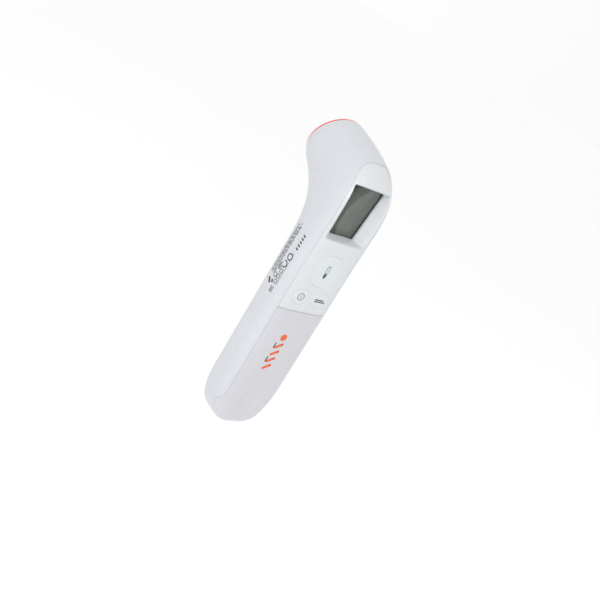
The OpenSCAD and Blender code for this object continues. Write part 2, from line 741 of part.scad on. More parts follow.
// Pan-head screw whose head rests on y0 and whose shank runs towards the front (-1) or the back (+1)
module pan_screw(x, z, y0, len, direction) {
    slot = 0.5;
    translate([x, y0, z]) rotate([-90 * direction, 0, 0]) {
        cylinder(r = screw_r, h = len, $fn = 32);
        difference() {
            translate([0, 0, -screw_head_t]) cylinder(r = screw_head_r, h = screw_head_t + eps, $fn = 40);
            for (turn = [0, 90]) rotate([0, 0, turn])
                translate([-1.1, -slot / 2, -screw_head_t - 1]) cube([2.2, slot, 1.6]);
        }
    }
}
module board_screws() {
    color("#9A9DA1") placed() for (p = board_screw_at)
        pan_screw(p[0], p[1], board_back + 0.05, board_screw_len + board_t - 0.6, -1);
}
module case_screws() {
    color("#9A9DA1") placed() for (p = case_screw_at)
        pan_screw(p[0], p[1], tongue_y - 0.05, case_screw_len + tongue_t - 0.6, 1);
}

main_shell();
front_panel();
battery_cover();
probe_rim();
probe_cone();
sensor_holder();
thermopile_can();
infrared_window();
sensor_pins();
sensor_board();
sensor_ribbon();
display_lens();
display_glass();
display_frame();
light_guide();
contact_strip();
main_board();
controller_chip();
board_components();
key_switches();
buzzer();
scan_key();
power_key();
memory_key();
battery_tray();
battery_left();
battery_right();
contact_springs();
lower_contact();
upper_contacts();
board_screws();
case_screws();
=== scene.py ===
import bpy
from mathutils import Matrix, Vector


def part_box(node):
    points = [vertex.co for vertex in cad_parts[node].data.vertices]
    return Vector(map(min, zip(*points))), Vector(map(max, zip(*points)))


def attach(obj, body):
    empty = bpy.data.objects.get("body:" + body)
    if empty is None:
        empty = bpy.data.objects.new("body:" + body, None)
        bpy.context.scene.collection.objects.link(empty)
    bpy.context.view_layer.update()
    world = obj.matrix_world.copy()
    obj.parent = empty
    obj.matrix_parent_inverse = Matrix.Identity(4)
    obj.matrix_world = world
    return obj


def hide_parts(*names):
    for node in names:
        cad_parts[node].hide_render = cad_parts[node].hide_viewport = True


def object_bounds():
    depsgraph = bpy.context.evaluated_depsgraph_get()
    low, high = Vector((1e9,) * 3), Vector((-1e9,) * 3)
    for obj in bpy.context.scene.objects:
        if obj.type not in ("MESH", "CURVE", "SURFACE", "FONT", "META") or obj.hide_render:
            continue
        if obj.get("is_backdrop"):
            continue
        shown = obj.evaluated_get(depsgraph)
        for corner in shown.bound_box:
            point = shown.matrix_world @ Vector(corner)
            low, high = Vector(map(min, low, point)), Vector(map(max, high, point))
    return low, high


bl_info = {
    "name": "Forehead Thermometer",
    "version": (1, 0, 0),
    "blender": (4, 5, 0),
    "location": "View3D > Sidebar > Thermometer",
    "description": "Makes the visible pieces of a hand-held infrared thermometer round its packed frame",
    "category": "Object",
}

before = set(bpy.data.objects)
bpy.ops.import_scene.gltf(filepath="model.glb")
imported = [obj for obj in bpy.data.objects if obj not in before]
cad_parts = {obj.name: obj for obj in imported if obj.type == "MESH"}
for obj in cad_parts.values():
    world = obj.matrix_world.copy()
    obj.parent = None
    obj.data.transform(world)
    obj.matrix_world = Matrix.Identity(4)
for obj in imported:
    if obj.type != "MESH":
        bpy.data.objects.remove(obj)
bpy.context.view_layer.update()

import math

import bmesh
import bpy
import numpy as np
from bpy.props import FloatProperty, FloatVectorProperty, PointerProperty
from mathutils import Matrix, Vector

MM = 0.001

# ---- Sizes of the body, millimetres, in the handle's own frame ----

HALF_W, HALF_D = 18.25, 10.1
BEND_Z, END_H = 90.0, 26.0
FRONT_CORNER, BACK_CORNER = 3.8, 3.2
END_SQUARENESS, END_ROUND = 2.35, 7.5
WALL = 2.0
TILT, TAPER = math.radians(25), math.radians(14)
TIP = np.array([31.6, 142.6])
TIP_R, RIM_T, CONE_LEN = 13.8, 1.1, 5.8
BACK_PULL, FRONT_PULL = 0.42, 0.65
PROBE_U = np.array([-math.sin(TILT), math.cos(TILT)])
PROBE_N = np.array([math.cos(TILT), math.sin(TILT)])

SEAM_X, COVER_TOP, PANEL_TOP = 14.8, 70.0, 147.0
PANEL_STEP, PANEL_WALL = 0.35, 1.8
# Visible gaps: open beside the panel, nearly closed round the cover and the keys
PANEL_GAP, COVER_GAP, KEY_GAP = 0.2, 0.04, 0.04
FLARE_X, FLARE_H, FLARE_Z = 3.4, 12.0, 24.0
ARCH_H, ARCH_SQUARENESS = 29.0, 2.8
SPLIT_LOW, SPLIT_HIGH = -HALF_D + 5.1, 3.0

VIEW_X, VIEW_TOP_X, VIEW_Z0, VIEW_Z1 = 8.0, 10.6, 110.0, 135.2
RECESS_X, RECESS_Z0, RECESS_Z1 = 12.6, 108.8, 136.6
RECESS_DEPTH = 4.7
RECESS_Y = -HALF_D + RECESS_DEPTH
LENS_Y = RECESS_Y + 1.3
GLASS_Y = LENS_Y + 0.9
BOARD_Y = GLASS_Y + 3.1
BOARD_BACK = BOARD_Y + 1.0

# Keys: x, z, width, height, squareness
KEYS = {
    "scan_key": (0.0, 93.0, 16.0, 17.0, 2.3),
    "power_key": (-6.2, 78.0, 9.4, 8.0, 2.3),
    "memory_key": (6.2, 78.0, 9.4, 8.0, 2.3),
}
KEY_FLANGE = 0.8
STEM_Y = BOARD_Y - 1.6 - 0.4 - 0.15

CELL_D, CELL_LEN, CELL_X, CELL_Y = 10.5, 44.5, 5.6, 0.0
BAY_Z0, CONTACT_T, SPRING_LEN = 10.7, 0.4, 3.0
LEFT_CELL_Z = BAY_Z0 + CONTACT_T + 0.05
RIGHT_CELL_Z = BAY_Z0 + CONTACT_T + SPRING_LEN + 0.1

# The part's origin lies behind the handle's middle line; the board's front face is at BOARD_Y
MID_Y = BOARD_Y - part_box("main_board")[0].y / MM


# ---- Body surface: position s runs up the body (0 to 4), v runs round it from the back ----

def taper_point(behind, side, inset):
    radius = TIP_R + behind * math.tan(TAPER) - inset / math.cos(TAPER)
    return TIP - PROBE_N * behind + side * PROBE_U * radius


def curve_point(t, start, end, angle, pull):
    span = np.linalg.norm(end - start) * pull
    a, b = start, start + np.array([0.0, span])
    c = end - np.array([math.cos(angle), math.sin(angle)]) * span
    t = t[:, None]
    return (1 - t) ** 3 * a + 3 * (1 - t) ** 2 * t * b + 3 * (1 - t) * t * t * c + t ** 3 * end


def rings(s, inset):
    """Back point, front point, half width, front and back squareness for positions s."""
    end_t = np.clip(s, 0, 1) * math.pi / 2
    h = END_H - inset
    z = h * (1 - np.cos(end_t))
    r = max(END_ROUND - inset, 3)
    half = (HALF_W - inset) * (1 - np.cos(end_t) ** END_SQUARENESS) ** (1 / END_SQUARENESS)
    q = np.maximum(0, 1 - z / r)
    y = HALF_D - inset - r * (1 - np.sqrt(np.maximum(0, 1 - q * q)))
    low_z = inset + z + np.clip(s - 1, 0, 1) * (BEND_Z - END_H)
    back = np.stack([y, low_z], 1)
    front = np.stack([-y, low_z], 1)
    n_front = np.full_like(s, FRONT_CORNER)
    n_back = np.full_like(s, BACK_CORNER)

    t = np.clip(s - 2, 0, 1)
    w = t * t * (3 - 2 * t)
    bend = s > 2
    high_back = curve_point(t, np.array([HALF_D - inset, BEND_Z]),
                            taper_point(CONE_LEN, -1, inset), TILT + TAPER, BACK_PULL)
    high_front = curve_point(t, np.array([-HALF_D + inset, BEND_Z]),
                             taper_point(CONE_LEN, 1, inset), TILT - TAPER, FRONT_PULL)
    back[bend], front[bend] = high_back[bend], high_front[bend]
    tip_half = TIP_R + CONE_LEN * math.tan(TAPER) - inset / math.cos(TAPER)
    half = half + (tip_half - HALF_W + inset) * w
    n_front += (2 - FRONT_CORNER) * w
    n_back += (2 - BACK_CORNER) * w

    probe = s > 3
    behind = (CONE_LEN + (RIM_T - CONE_LEN) * np.clip(s - 3, 0, 1))[probe]
    radius = TIP_R + behind * math.tan(TAPER) - inset / math.cos(TAPER)
    middle = TIP - PROBE_N * behind[:, None]
    back[probe] = middle - PROBE_U * radius[:, None]
    front[probe] = middle + PROBE_U * radius[:, None]
    half[probe] = radius
    return back, front, half, n_front, n_back


def ring_points(s, angle, inset):
    back, front, half, n_front, n_back = rings(s, inset)
    sine, cosine = np.sin(angle), np.cos(angle)
    n = np.where(sine > 0, n_front, n_back)
    x = half * np.sign(cosine) * np.abs(cosine) ** (2 / n)
    q = np.sign(sine) * np.abs(sine) ** (2 / n)
    middle, reach = (back + front) / 2, (front - back) / 2
    return np.stack([x, middle[:, 0] + reach[:, 0] * q, middle[:, 1] + reach[:, 1] * q], 1)


def even_angles():
    """Table of angles at even steps of length round the straight handle."""
    angle = np.radians(np.linspace(-90, 270, 14401))
    points = ring_points(np.full_like(angle, 1.5), angle, 0.0)
    length = np.concatenate([[0], np.cumsum(np.linalg.norm(np.diff(points, axis=0), axis=1))])
    return length / length[-1], angle


ANGLE_V, ANGLE_A = even_angles()


def surface(sv, inset):
    angle = np.interp(sv[:, 1] % 1.0, ANGLE_V, ANGLE_A)
    return ring_points(sv[:, 0], angle, inset)


def normals_of(shape, sv):
    """Outward unit normals of a shape function at the given places, from small steps."""
    step_s, step_v = 4e-4, 2.5e-4
    low, high = sv.copy(), sv.copy()
    low[:, 0] = np.maximum(sv[:, 0] - step_s, 0)
    high[:, 0] = np.minimum(sv[:, 0] + step_s, 4)
    along = shape(high) - shape(low)
    low, high = sv.copy(), sv.copy()
    low[:, 1] -= step_v
    high[:, 1] += step_v
    low[:, 0] = np.maximum(low[:, 0], 2e-3)
    high[:, 0] = np.maximum(high[:, 0], 2e-3)
    across = shape(high) - shape(low)
    n = np.cross(along, across)
    return n / np.maximum(np.linalg.norm(n, axis=1), 1e-12)[:, None]


def raised_max(a, b, blend):
    """The larger of two values with a rounded change-over."""
    h = np.maximum(blend - np.abs(a - b), 0) / blend
    return np.maximum(a, b) + h * h * blend / 4


def raised_min(a, b, blend):
    return -raised_max(-a, -b, blend)


def rolled(distance, radius):
    """Depth of a rounded edge at a distance inside it."""
    inside = np.clip(radius - distance, 0, radius * 0.97)
    return radius - np.sqrt(radius * radius - inside * inside)


# ---- Outlines over x and z ----

def front_inside(points):
    """Distance inside the seam round the panel and the battery cover."""
    x, z = np.abs(points[:, 0]), points[:, 2]
    up = np.clip((z - (PANEL_TOP - ARCH_H)) / ARCH_H, 0, 3)
    n = ARCH_SQUARENESS
    total = ((x / SEAM_X) ** n + up ** n) + 1e-12
    value = total ** (1 / n)
    slope = np.hypot((x / SEAM_X) ** (n - 1) / SEAM_X, up ** (n - 1) / ARCH_H) * value ** (1 - n)
    arch = (1 - value) / np.maximum(slope, 1e-6)
    down = np.clip((FLARE_Z - z) / FLARE_H, 0, 1)
    flare = FLARE_X * (1 - np.sqrt(np.maximum(1 - down * down, 0)))
    return np.where(up > 0, arch, SEAM_X + flare - x)


def front_side(points):
    """Distance in front of the plane that parts the front pieces from the shell."""
    high = np.clip((points[:, 2] - 86) / 8, 0, 1)
    return SPLIT_LOW + (SPLIT_HIGH - SPLIT_LOW) * high - points[:, 1]


def opening(points):
    return np.minimum(front_inside(points), front_side(points))


def oval_inside(points, key, grow=0.0):
    x0, z0, width, height, n = key
    u = np.abs(points[:, 0] - x0) / (width / 2 + grow)
    w = np.abs(points[:, 2] - z0) / (height / 2 + grow)
    value = (u ** n + w ** n + 1e-12) ** (1 / n)
    slope = np.hypot(u ** (n - 1) / (width / 2 + grow), w ** (n - 1) / (height / 2 + grow))
    return (1 - value) / np.maximum(slope * value ** (1 - n), 1e-6)


def view_half(z):
    """Half width of the display at a height: it widens upwards."""
    return VIEW_X + (VIEW_TOP_X - VIEW_X) * np.clip((z - VIEW_Z0) / (VIEW_Z1 - VIEW_Z0), -0.1, 1.1)


def window_inside(points):
    """Distance inside the display's window, with small round corners."""
    corner = 0.5
    qx = np.abs(points[:, 0]) - view_half(points[:, 2]) + corner
    qz = np.abs(points[:, 2] - (VIEW_Z0 + VIEW_Z1) / 2) - (VIEW_Z1 - VIEW_Z0) / 2 + corner
    outside = np.hypot(np.maximum(qx, 0), np.maximum(qz, 0))
    return corner - outside - np.minimum(np.maximum(qx, qz), 0)


def recess_front(points):
    """Depth of the sloped walls of the display's recess."""
    x, z = np.abs(points[:, 0]), points[:, 2]
    rise = RECESS_Y + HALF_D - 0.1
    half = view_half(z)
    side = RECESS_Y - (x - half) * rise / (RECESS_X - half)
    sill = RECESS_Y - (VIEW_Z0 - z) * rise / (VIEW_Z0 - RECESS_Z0)
    brow = RECESS_Y - (z - VIEW_Z1) * rise / (RECESS_Z1 - VIEW_Z1)
    wall = raised_min(side, raised_min(sill, brow, 0.5), 2.0)
    return np.minimum(wall, RECESS_Y)


# ---- Sheets: grids on the body surface that are cut along lines ----

class Sheet:
    """A grid over s and v whose faces can be cut along the zero line of a function."""

    def __init__(self, s_values, v_values):
        s, v = np.meshgrid(s_values, v_values, indexing="ij")
        self.sv = np.stack([s.ravel(), v.ravel()], 1)
        n = len(v_values)
        self.faces = [
            [j * n + i, (j + 1) * n + i, (j + 1) * n + i + 1, j * n + i + 1]
            for j in range(len(s_values) - 1) for i in range(n - 1)
        ]

    def cut(self, value, *levels):
        """Adds edges where value(sv) equals each level."""
        for level in levels:
            self.cut_once(value, level)

    def cut_once(self, value, level, tolerance=0.004):
        at = value(self.sv) - level
        at[np.abs(at) < tolerance] = 0
        sign = np.sign(at).astype(int).tolist()
        crossing, mixed = {}, []
        for f, face in enumerate(self.faces):
            signs = [sign[i] for i in face]
            if min(signs) < 0 < max(signs):
                mixed.append(f)
                for a, b in zip(face, face[1:] + face[:1]):
                    if sign[a] * sign[b] < 0:
                        crossing.setdefault((min(a, b), max(a, b)), 0)
        if not crossing:
            return
        pairs = np.array(list(crossing))
        a, b = self.sv[pairs[:, 0]], self.sv[pairs[:, 1]]
        fa, low, high = at[pairs[:, 0]], np.zeros(len(pairs)), np.ones(len(pairs))
        for _ in range(14):
            middle = (low + high) / 2
            same = np.sign(value(a + (b - a) * middle[:, None]) - level) == np.sign(fa)
            low, high = np.where(same, middle, low), np.where(same, high, middle)
        first = len(self.sv)
        self.sv = np.concatenate([self.sv, a + (b - a) * ((low + high) / 2)[:, None]])
        for k, pair in enumerate(crossing):
            crossing[pair] = first + k
        for f in mixed:
            face, above, below = self.faces[f], [], []
            for a, b in zip(face, face[1:] + face[:1]):
                if sign[a] >= 0:
                    above.append(a)
                if sign[a] <= 0:
                    below.append(a)
                if sign[a] * sign[b] < 0:
                    m = crossing[(min(a, b), max(a, b))]
                    above.append(m)
                    below.append(m)
            self.faces[f] = above
            self.faces.append(below)
        self.faces = [face for face in self.faces if len(face) > 2]

    def keep(self, value):
        """Keeps the faces where value(sv) is above zero."""
        at = value(self.sv)
        at[np.abs(at) < 0.005] = 0
        self.faces = [face for face in self.faces if at[face].sum() > 0]

    def weld(self):
        """Joins the two edges of a closed ring, and the two sides of the lower end's line."""
        by_place, new = {}, np.arange(len(self.sv))
        for i, (s, v) in enumerate(self.sv):
            if v >= 1 - 1e-9 or (s < 1e-9 and v > 0.5):
                new[i] = -1
            else:
                by_place[(round(s, 6), round(v, 6))] = i
        for i in np.nonzero(new < 0)[0]:
            s, v = self.sv[i]
            place = (round(s, 6), round(0.0 if v >= 1 - 1e-9 else 1 - v, 6))
            new[i] = by_place.get(place, i)
        faces = []
        for face in self.faces:
            merged = [int(new[i]) for i in face]
            merged = [a for a, b in zip(merged, merged[1:] + merged[:1]) if a != b]
            if len(set(merged)) > 2:
                faces.append(merged)
        self.faces = faces

    def pack(self):
        used = sorted({i for face in self.faces for i in face})
        place = {old: new for new, old in enumerate(used)}
        self.sv = self.sv[used]
        self.faces = [[place[i] for i in face] for face in self.faces]


class Piece:
    """Collects the surfaces of one piece with their corner normals, in handle millimetres."""

    def __init__(self):
        self.points, self.faces, self.normals, self.slots = [], [], [], []
        self.count = 0

    def add(self, points, faces, corner_normals, slot=0):
        self.points.append(np.asarray(points, float).reshape(-1, 3))
        self.faces += [[i + self.count for i in face] for face in faces]
        self.normals.append(np.asarray(corner_normals, float).reshape(-1, 3))
        self.slots += [slot] * len(faces)
        self.count += len(self.points[-1])

    def add_wall(self, sheet, outer, inner, slot=0):
        """A closed wall between an outer and an inner shape over a cut sheet."""
        sheet.pack()
        p, q, n = outer(sheet.sv), inner(sheet.sv), normals_of(outer, sheet.sv)
        count = len(p)
        faces, normals = [], []
        edges = set()
        for face in sheet.faces:
            edges.update(zip(face, face[1:] + face[:1]))
            faces.append(face)
            normals.append(n[face])
        for face in sheet.faces:
            back = face[::-1]
            faces.append([i + count for i in back])
            normals.append(-n[back])
        both = np.concatenate([p, q])
        for a, b in edges:
            if (b, a) not in edges:
                rim = [b, a, a + count, b + count]
                across = np.cross(both[a] - both[b], both[a + count] - both[b])
                across /= max(np.linalg.norm(across), 1e-12)
                faces.append(rim)
                normals.append(np.tile(across, (4, 1)))
        self.add(both, faces, np.concatenate(normals), slot)

    def add_bmesh(self, bm, slot=0, sharp=35.0):
        """A bmesh in handle millimetres, shaded smooth up to the sharp angle."""
        mesh = bpy.data.meshes.new("scratch")
        bmesh.ops.recalc_face_normals(bm, faces=bm.faces)
        bm.to_mesh(mesh)
        bm.free()
        mesh.shade_smooth()
        mesh.set_sharp_from_angle(angle=math.radians(sharp))
        normals = np.zeros(len(mesh.loops) * 3)
        mesh.corner_normals.foreach_get("vector", normals)
        points = [v.co[:] for v in mesh.vertices]
        self.add(points, [list(p.vertices) for p in mesh.polygons], normals, slot)
        bpy.data.meshes.remove(mesh)

    def build(self, name, body, slot, materials, replaced):
        points = np.concatenate(self.points)
        points[:, 1] -= MID_Y
        points *= MM
        mesh = bpy.data.meshes.new(name)
        mesh.from_pydata(points.tolist(), [], self.faces)
        for material in materials:
            mesh.materials.append(material)
        mesh.polygons.foreach_set("material_index", self.slots)
        mesh.polygons.foreach_set("use_smooth", [True] * len(self.faces))
        mesh.normals_split_custom_set(np.concatenate(self.normals).tolist())
        mesh.validate(clean_customdata=False)
        return finish_piece(mesh, name, body, slot, replaced)


def finish_piece(mesh, name, body, slot, replaced):
    mesh.name = name
    piece = bpy.data.objects.new(name, mesh)
    bpy.context.scene.collection.objects.link(piece)
    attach(piece, body)
    if replaced:
        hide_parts(*replaced)
    return piece


# ---- Small solids, handle millimetres ----

def rounded_box(low, high, radius, segments=2):
    bm = bmesh.new()
    low, high = Vector(low), Vector(high)
    size = high - low
    bmesh.ops.create_cube(bm, size=1.0, matrix=Matrix.Translation((low + high) / 2)
                          @ Matrix.Diagonal((size.x, size.y, size.z, 1)))
    bmesh.ops.bevel(bm, geom=bm.edges[:], offset=min(radius, min(size) * 0.45),
                    segments=segments, profile=0.5, affect="EDGES")
    return bm


def softened(profile, radius, closed, steps=3):
    """A profile whose corners are replaced by small arcs."""
    points = [np.array(p, float) for p in profile]
    out, count = [], len(points)
    for i, p in enumerate(points):
        if not closed and i in (0, count - 1):
            out.append(p)
            continue
        a, b = points[i - 1] - p, points[(i + 1) % count] - p
        reach = min(radius, np.linalg.norm(a) * 0.45, np.linalg.norm(b) * 0.45)
        start, end = p + a / np.linalg.norm(a) * reach, p + b / np.linalg.norm(b) * reach
        for k in range(steps + 1):
            t = k / steps
            out.append((1 - t) ** 2 * start + 2 * (1 - t) * t * p + t * t * end)
    return out


def lathe(profile, matrix, closed=True, segments=96):
    """A turned solid. Profile points are (radius, height); an open profile ends on the axis."""
    bm = bmesh.new()
    rows = []
    for r, z in profile:
        if r < 1e-6:
            rows.append([bm.verts.new(matrix @ Vector((0, 0, z)))] * segments)
            continue
        rows.append([
            bm.verts.new(matrix @ Vector((r * math.cos(a), r * math.sin(a), z)))
            for a in (2 * math.pi * i / segments for i in range(segments))
        ])
    pairs = list(zip(rows, rows[1:] + rows[:1])) if closed else list(zip(rows, rows[1:]))
    for low, high in pairs:
        for i in range(segments):
            k = (i + 1) % segments
            corner = list(dict.fromkeys([low[i], low[k], high[k], high[i]]))
            if len(corner) > 2:
                bm.faces.new(corner)
    return bm


def rod_y(x, z, y0, y1, radius, soften=0.2, bore=0.0, segments=48):
    """A turned rod along the handle's depth, with a bore if it is given."""
    matrix = Matrix.Translation((x, y0, z)) @ Matrix.Rotation(-math.pi / 2, 4, "X")
    length = y1 - y0
    if bore:
        profile = [(bore, 0), (radius, 0), (radius, length), (bore, length)]
        return lathe(softened(profile, soften, True), matrix, True, segments)
    profile = [(0, 0), (radius, 0), (radius, length), (0, length)]
    return lathe(softened(profile, soften, False), matrix, False, segments)


PROBE_PLACE = (Matrix.Translation((0, TIP[0], TIP[1]))
               @ Matrix.Rotation(TILT - math.pi / 2, 4, "X"))


# ---- Finishes ----

class Finish:
    """Builds the node tree of one material."""

    def __init__(self, name):
        self.material = bpy.data.materials.new(name)
        self.material.use_nodes = True
        self.nodes = self.material.node_tree.nodes
        self.links = self.material.node_tree.links
        self.shader = self.nodes["Principled BSDF"]
        self.place = self.nodes.new("ShaderNodeTexCoord").outputs["Object"]

    def node(self, kind, settings=None, **inputs):
        node = self.nodes.new(kind)
        for key, value in (settings or {}).items():
            setattr(node, key, value)
        for key, value in inputs.items():
            self.feed(node.inputs[key.replace("_", " ")], value)
        return node

    def feed(self, socket, value):
        if isinstance(value, bpy.types.NodeSocket):
            self.links.new(value, socket)
        else:
            socket.default_value = value

    def set(self, **inputs):
        for key, value in inputs.items():
            self.feed(self.shader.inputs[key.replace("_", " ")], value)

    def noise(self, scale, detail=2.0, rough=0.5, stretch=(1, 1, 1)):
        place = self.node("ShaderNodeMapping", Vector=self.place, Scale=stretch)
        return self.node("ShaderNodeTexNoise", Vector=place.outputs["Vector"], Scale=scale,
                         Detail=detail, Roughness=rough).outputs["Fac"]

    def ramp(self, value, *stops):
        """Colour ramp over (position, colour) stops."""
        node = self.node("ShaderNodeValToRGB", Fac=value)
        elements = node.color_ramp.elements
        for (position, colour), element in zip(stops, [elements[0], elements[1]]):
            element.position, element.color = position, (*colour[:3], 1)
        for position, colour in stops[2:]:
            elements.new(position).color = (*colour[:3], 1)
        return node.outputs["Color"]

    def spread(self, value, low, high, source=(0.3, 0.7)):
        return self.node("ShaderNodeMapRange", Value=value, From_Min=source[0],
                         From_Max=source[1], To_Min=low, To_Max=high).outputs["Result"]

    def math(self, operation, a, b=0.0):
        node = self.nodes.new("ShaderNodeMath")
        node.operation = operation
        self.feed(node.inputs[0], a)
        self.feed(node.inputs[1], b)
        return node.outputs[0]

    def bump(self, height, strength, depth):
        node = self.node("ShaderNodeBump", Height=height, Strength=strength, Distance=depth)
        self.feed(self.shader.inputs["Normal"], node.outputs["Normal"])


def shade(colour, factor):
    return tuple(min(1.0, c * factor) for c in colour[:3])


def moulded(name, colour, rough=(0.25, 0.275), grain=4200, depth=4e-6, vary=0.97):
    """Moulded plastic: slow colour drift, fine skin texture and faint polish marks."""
    f = Finish(name)
    drift = f.noise(38, 3)
    f.set(Base_Color=f.ramp(drift, (0.3, shade(colour, vary)), (0.7, colour)))
    scuff = f.noise(260, 3, 0.5, (1, 1, 0.5))
    f.set(Roughness=f.spread(scuff, *rough))
    skin = f.noise(grain, 2)
    f.bump(skin, 0.35, depth)
    return f.material


def brushed_metal(name, colour, rough=(0.22, 0.38), stretch=(1, 1, 12)):
    """Metal with drawn or turned marks."""
    f = Finish(name)
    marks = f.noise(900, 4, 0.65, stretch)
    f.set(Base_Color=f.ramp(marks, (0.3, shade(colour, 0.82)), (0.7, colour)), Metallic=1.0)
    f.set(Roughness=f.spread(marks, *rough))
    f.bump(marks, 0.25, 8e-6)
    return f.material


def printed_ink(name, colour):
    """Pad-printed ink with slightly uneven cover."""
    f = Finish(name)
    cover = f.noise(2600, 3)
    f.set(Base_Color=f.ramp(cover, (0.3, shade(colour, 0.85)), (0.65, colour)))
    f.set(Roughness=f.spread(cover, 0.35, 0.5))
    f.bump(cover, 0.2, 3e-6)
    return f.material


def circuit_board(name, colour):
    """Solder mask over tracks, with a slight step at the track edges."""
    f = Finish(name)
    tracks = f.node("ShaderNodeTexBrick", {"offset": 0.35, "squash": 1.6, "squash_frequency": 3},
                    Vector=f.node("ShaderNodeMapping", Vector=f.place,
                                  Rotation=(math.pi / 2, 0, 0)).outputs["Vector"],
                    Scale=160, Mortar_Size=0.018, Mortar_Smooth=0.2,
                    Color1=(0, 0, 0, 1), Color2=(0, 0, 0, 1), Mortar=(1, 1, 1, 1)).outputs["Color"]
    f.set(Base_Color=f.ramp(tracks, (0.2, shade(colour, 0.8)), (0.8, shade(colour, 1.7))))
    f.set(Roughness=f.spread(f.noise(900, 3), 0.22, 0.34))
    f.bump(tracks, 0.4, 2e-5)
    return f.material


def display_face(name, colour):
    """Liquid-crystal cell: grey-green, with painted shade darkening it towards its edge, and with a fine
    cell grid.
    """
    f = Finish(name)
    low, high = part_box("display_glass")
    middle, size = (low + high) / 2, high - low
    parts = f.node("ShaderNodeSeparateXYZ", Vector=f.place).outputs
    edge_x = f.math("ABSOLUTE", f.math("MULTIPLY", f.math("SUBTRACT", parts["X"], middle.x),
                                       2 / size.x))
    edge_z = f.math("ABSOLUTE", f.math("MULTIPLY", f.math("SUBTRACT", parts["Z"], middle.z),
                                       2 / size.z))
    # Painted shade: the colour darkens steeply close to the cell's edges, where the recess walls shade it;
    # the slow noise adds a random tone drift.
    edge = f.math("MAXIMUM", f.math("POWER", edge_x, 14.0), f.math("POWER", edge_z, 18.0))
    slow = f.noise(70, 2)
    edge_shade_and_drift = f.math("ADD", edge, f.math("MULTIPLY", slow, 0.15))
    f.set(Base_Color=f.ramp(edge_shade_and_drift, (0.0, shade(colour, 1.08)), (1.0, shade(colour, 0.6))))
    f.set(Roughness=f.spread(f.noise(1500, 2), 0.3, 0.42))
    f.bump(f.noise(9000, 1), 0.15, 2e-6)
    return f.material


def clear_cover(name):
    """Clear moulded window with faint wipe marks."""
    f = Finish(name)
    wipe = f.noise(260, 4, 0.6, (1, 1, 0.2))
    f.set(Base_Color=f.ramp(wipe, (0.2, (0.95, 0.97, 0.97)), (0.8, (0.99, 1, 1))))
    f.set(Roughness=f.spread(wipe, 0.01, 0.05))
    f.shader.inputs["IOR"].default_value = 1.49
    f.shader.inputs["Transmission Weight"].default_value = 1.0
    f.bump(wipe, 0.05, 2e-6)
    return f.material


def printed_jacket(name, colour, band):
    """Cell jacket: shrink film with a band at one end and soft creases."""
    f = Finish(name)
    parts = f.node("ShaderNodeSeparateXYZ", Vector=f.place).outputs
    film = f.noise(500, 3, 0.5, (1, 1, 0.2))
    body = f.ramp(film, (0.3, shade(colour, 0.9)), (0.7, colour))
    share = f.math("GREATER_THAN", parts["Z"], band)
    mix = f.node("ShaderNodeMix", {"data_type": "RGBA"}, Factor=share)
    f.feed(mix.inputs[6], body)
    f.feed(mix.inputs[7], (0.03, 0.03, 0.035, 1))
    f.set(Base_Color=mix.outputs[2], Roughness=f.spread(film, 0.2, 0.34))
    f.bump(film, 0.2, 1.5e-5)
    return f.material


def finishes():
    """The materials by name, made once."""
    if FINISHES:
        return FINISHES
    c = bpy.context.scene.thermometer_colours
    FINISHES.update(
        gloss_white=moulded("gloss_white", c.shell),
        panel_white=moulded("panel_white", c.panel),
        cover_white=moulded("cover_white", c.cover),
        key_white=moulded("key_white", c.key, rough=(0.26, 0.36)),
        rim_red=moulded("rim_red", c.rim, rough=(0.25, 0.35), vary=0.9),
        cone_metal=brushed_metal("cone_metal", (0.72, 0.73, 0.75), rough=(0.08, 0.18),
                                 stretch=(1, 9, 1)),
        dark_plastic=moulded("dark_plastic", (0.035, 0.037, 0.042), rough=(0.4, 0.55), vary=0.8),
        steel=brushed_metal("steel", (0.62, 0.62, 0.61)),
        screw_steel=brushed_metal("screw_steel", (0.48, 0.49, 0.5), rough=(0.3, 0.45)),
        window_dark=moulded("window_dark", (0.045, 0.05, 0.065), rough=(0.04, 0.1), vary=0.8),
        gold_pin=brushed_metal("gold_pin", (0.83, 0.62, 0.25)),
        board_green=circuit_board("board_green", (0.02, 0.13, 0.06)),
        ribbon_amber=moulded("ribbon_amber", (0.42, 0.22, 0.05), rough=(0.25, 0.4), vary=0.75),
        lens_clear=clear_cover("lens_clear"),
        lcd_green=display_face("lcd_green", c.display),
        frame_white=moulded("frame_white", (0.8, 0.8, 0.78), rough=(0.4, 0.55)),
        guide_plastic=moulded("guide_plastic", (0.72, 0.82, 0.7), rough=(0.1, 0.2)),
        elastomer=moulded("elastomer", (0.62, 0.28, 0.35), rough=(0.5, 0.65), vary=0.85),
        chip_black=moulded("chip_black", (0.02, 0.02, 0.022), rough=(0.45, 0.6), vary=0.8, grain=9000),
        component_tan=moulded("component_tan", (0.42, 0.3, 0.17), rough=(0.3, 0.5), vary=0.7),
        tray_grey=moulded("tray_grey", (0.6, 0.61, 0.63), rough=(0.38, 0.5)),
        cell_jacket=printed_jacket("cell_jacket", (0.62, 0.3, 0.06), 0.046),
        ink_dark=printed_ink("ink_dark", c.ink),
        ink_orange=printed_ink("ink_orange", c.mark),
    )
    return FINISHES


FINISHES = {}


def paint_node(name, finish):
    """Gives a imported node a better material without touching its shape."""
    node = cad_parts[name]
    if not node.material_slots:
        node.data.materials.append(None)
    for slot in node.material_slots:
        slot.material = finishes()[finish]


# ---- Settings ----

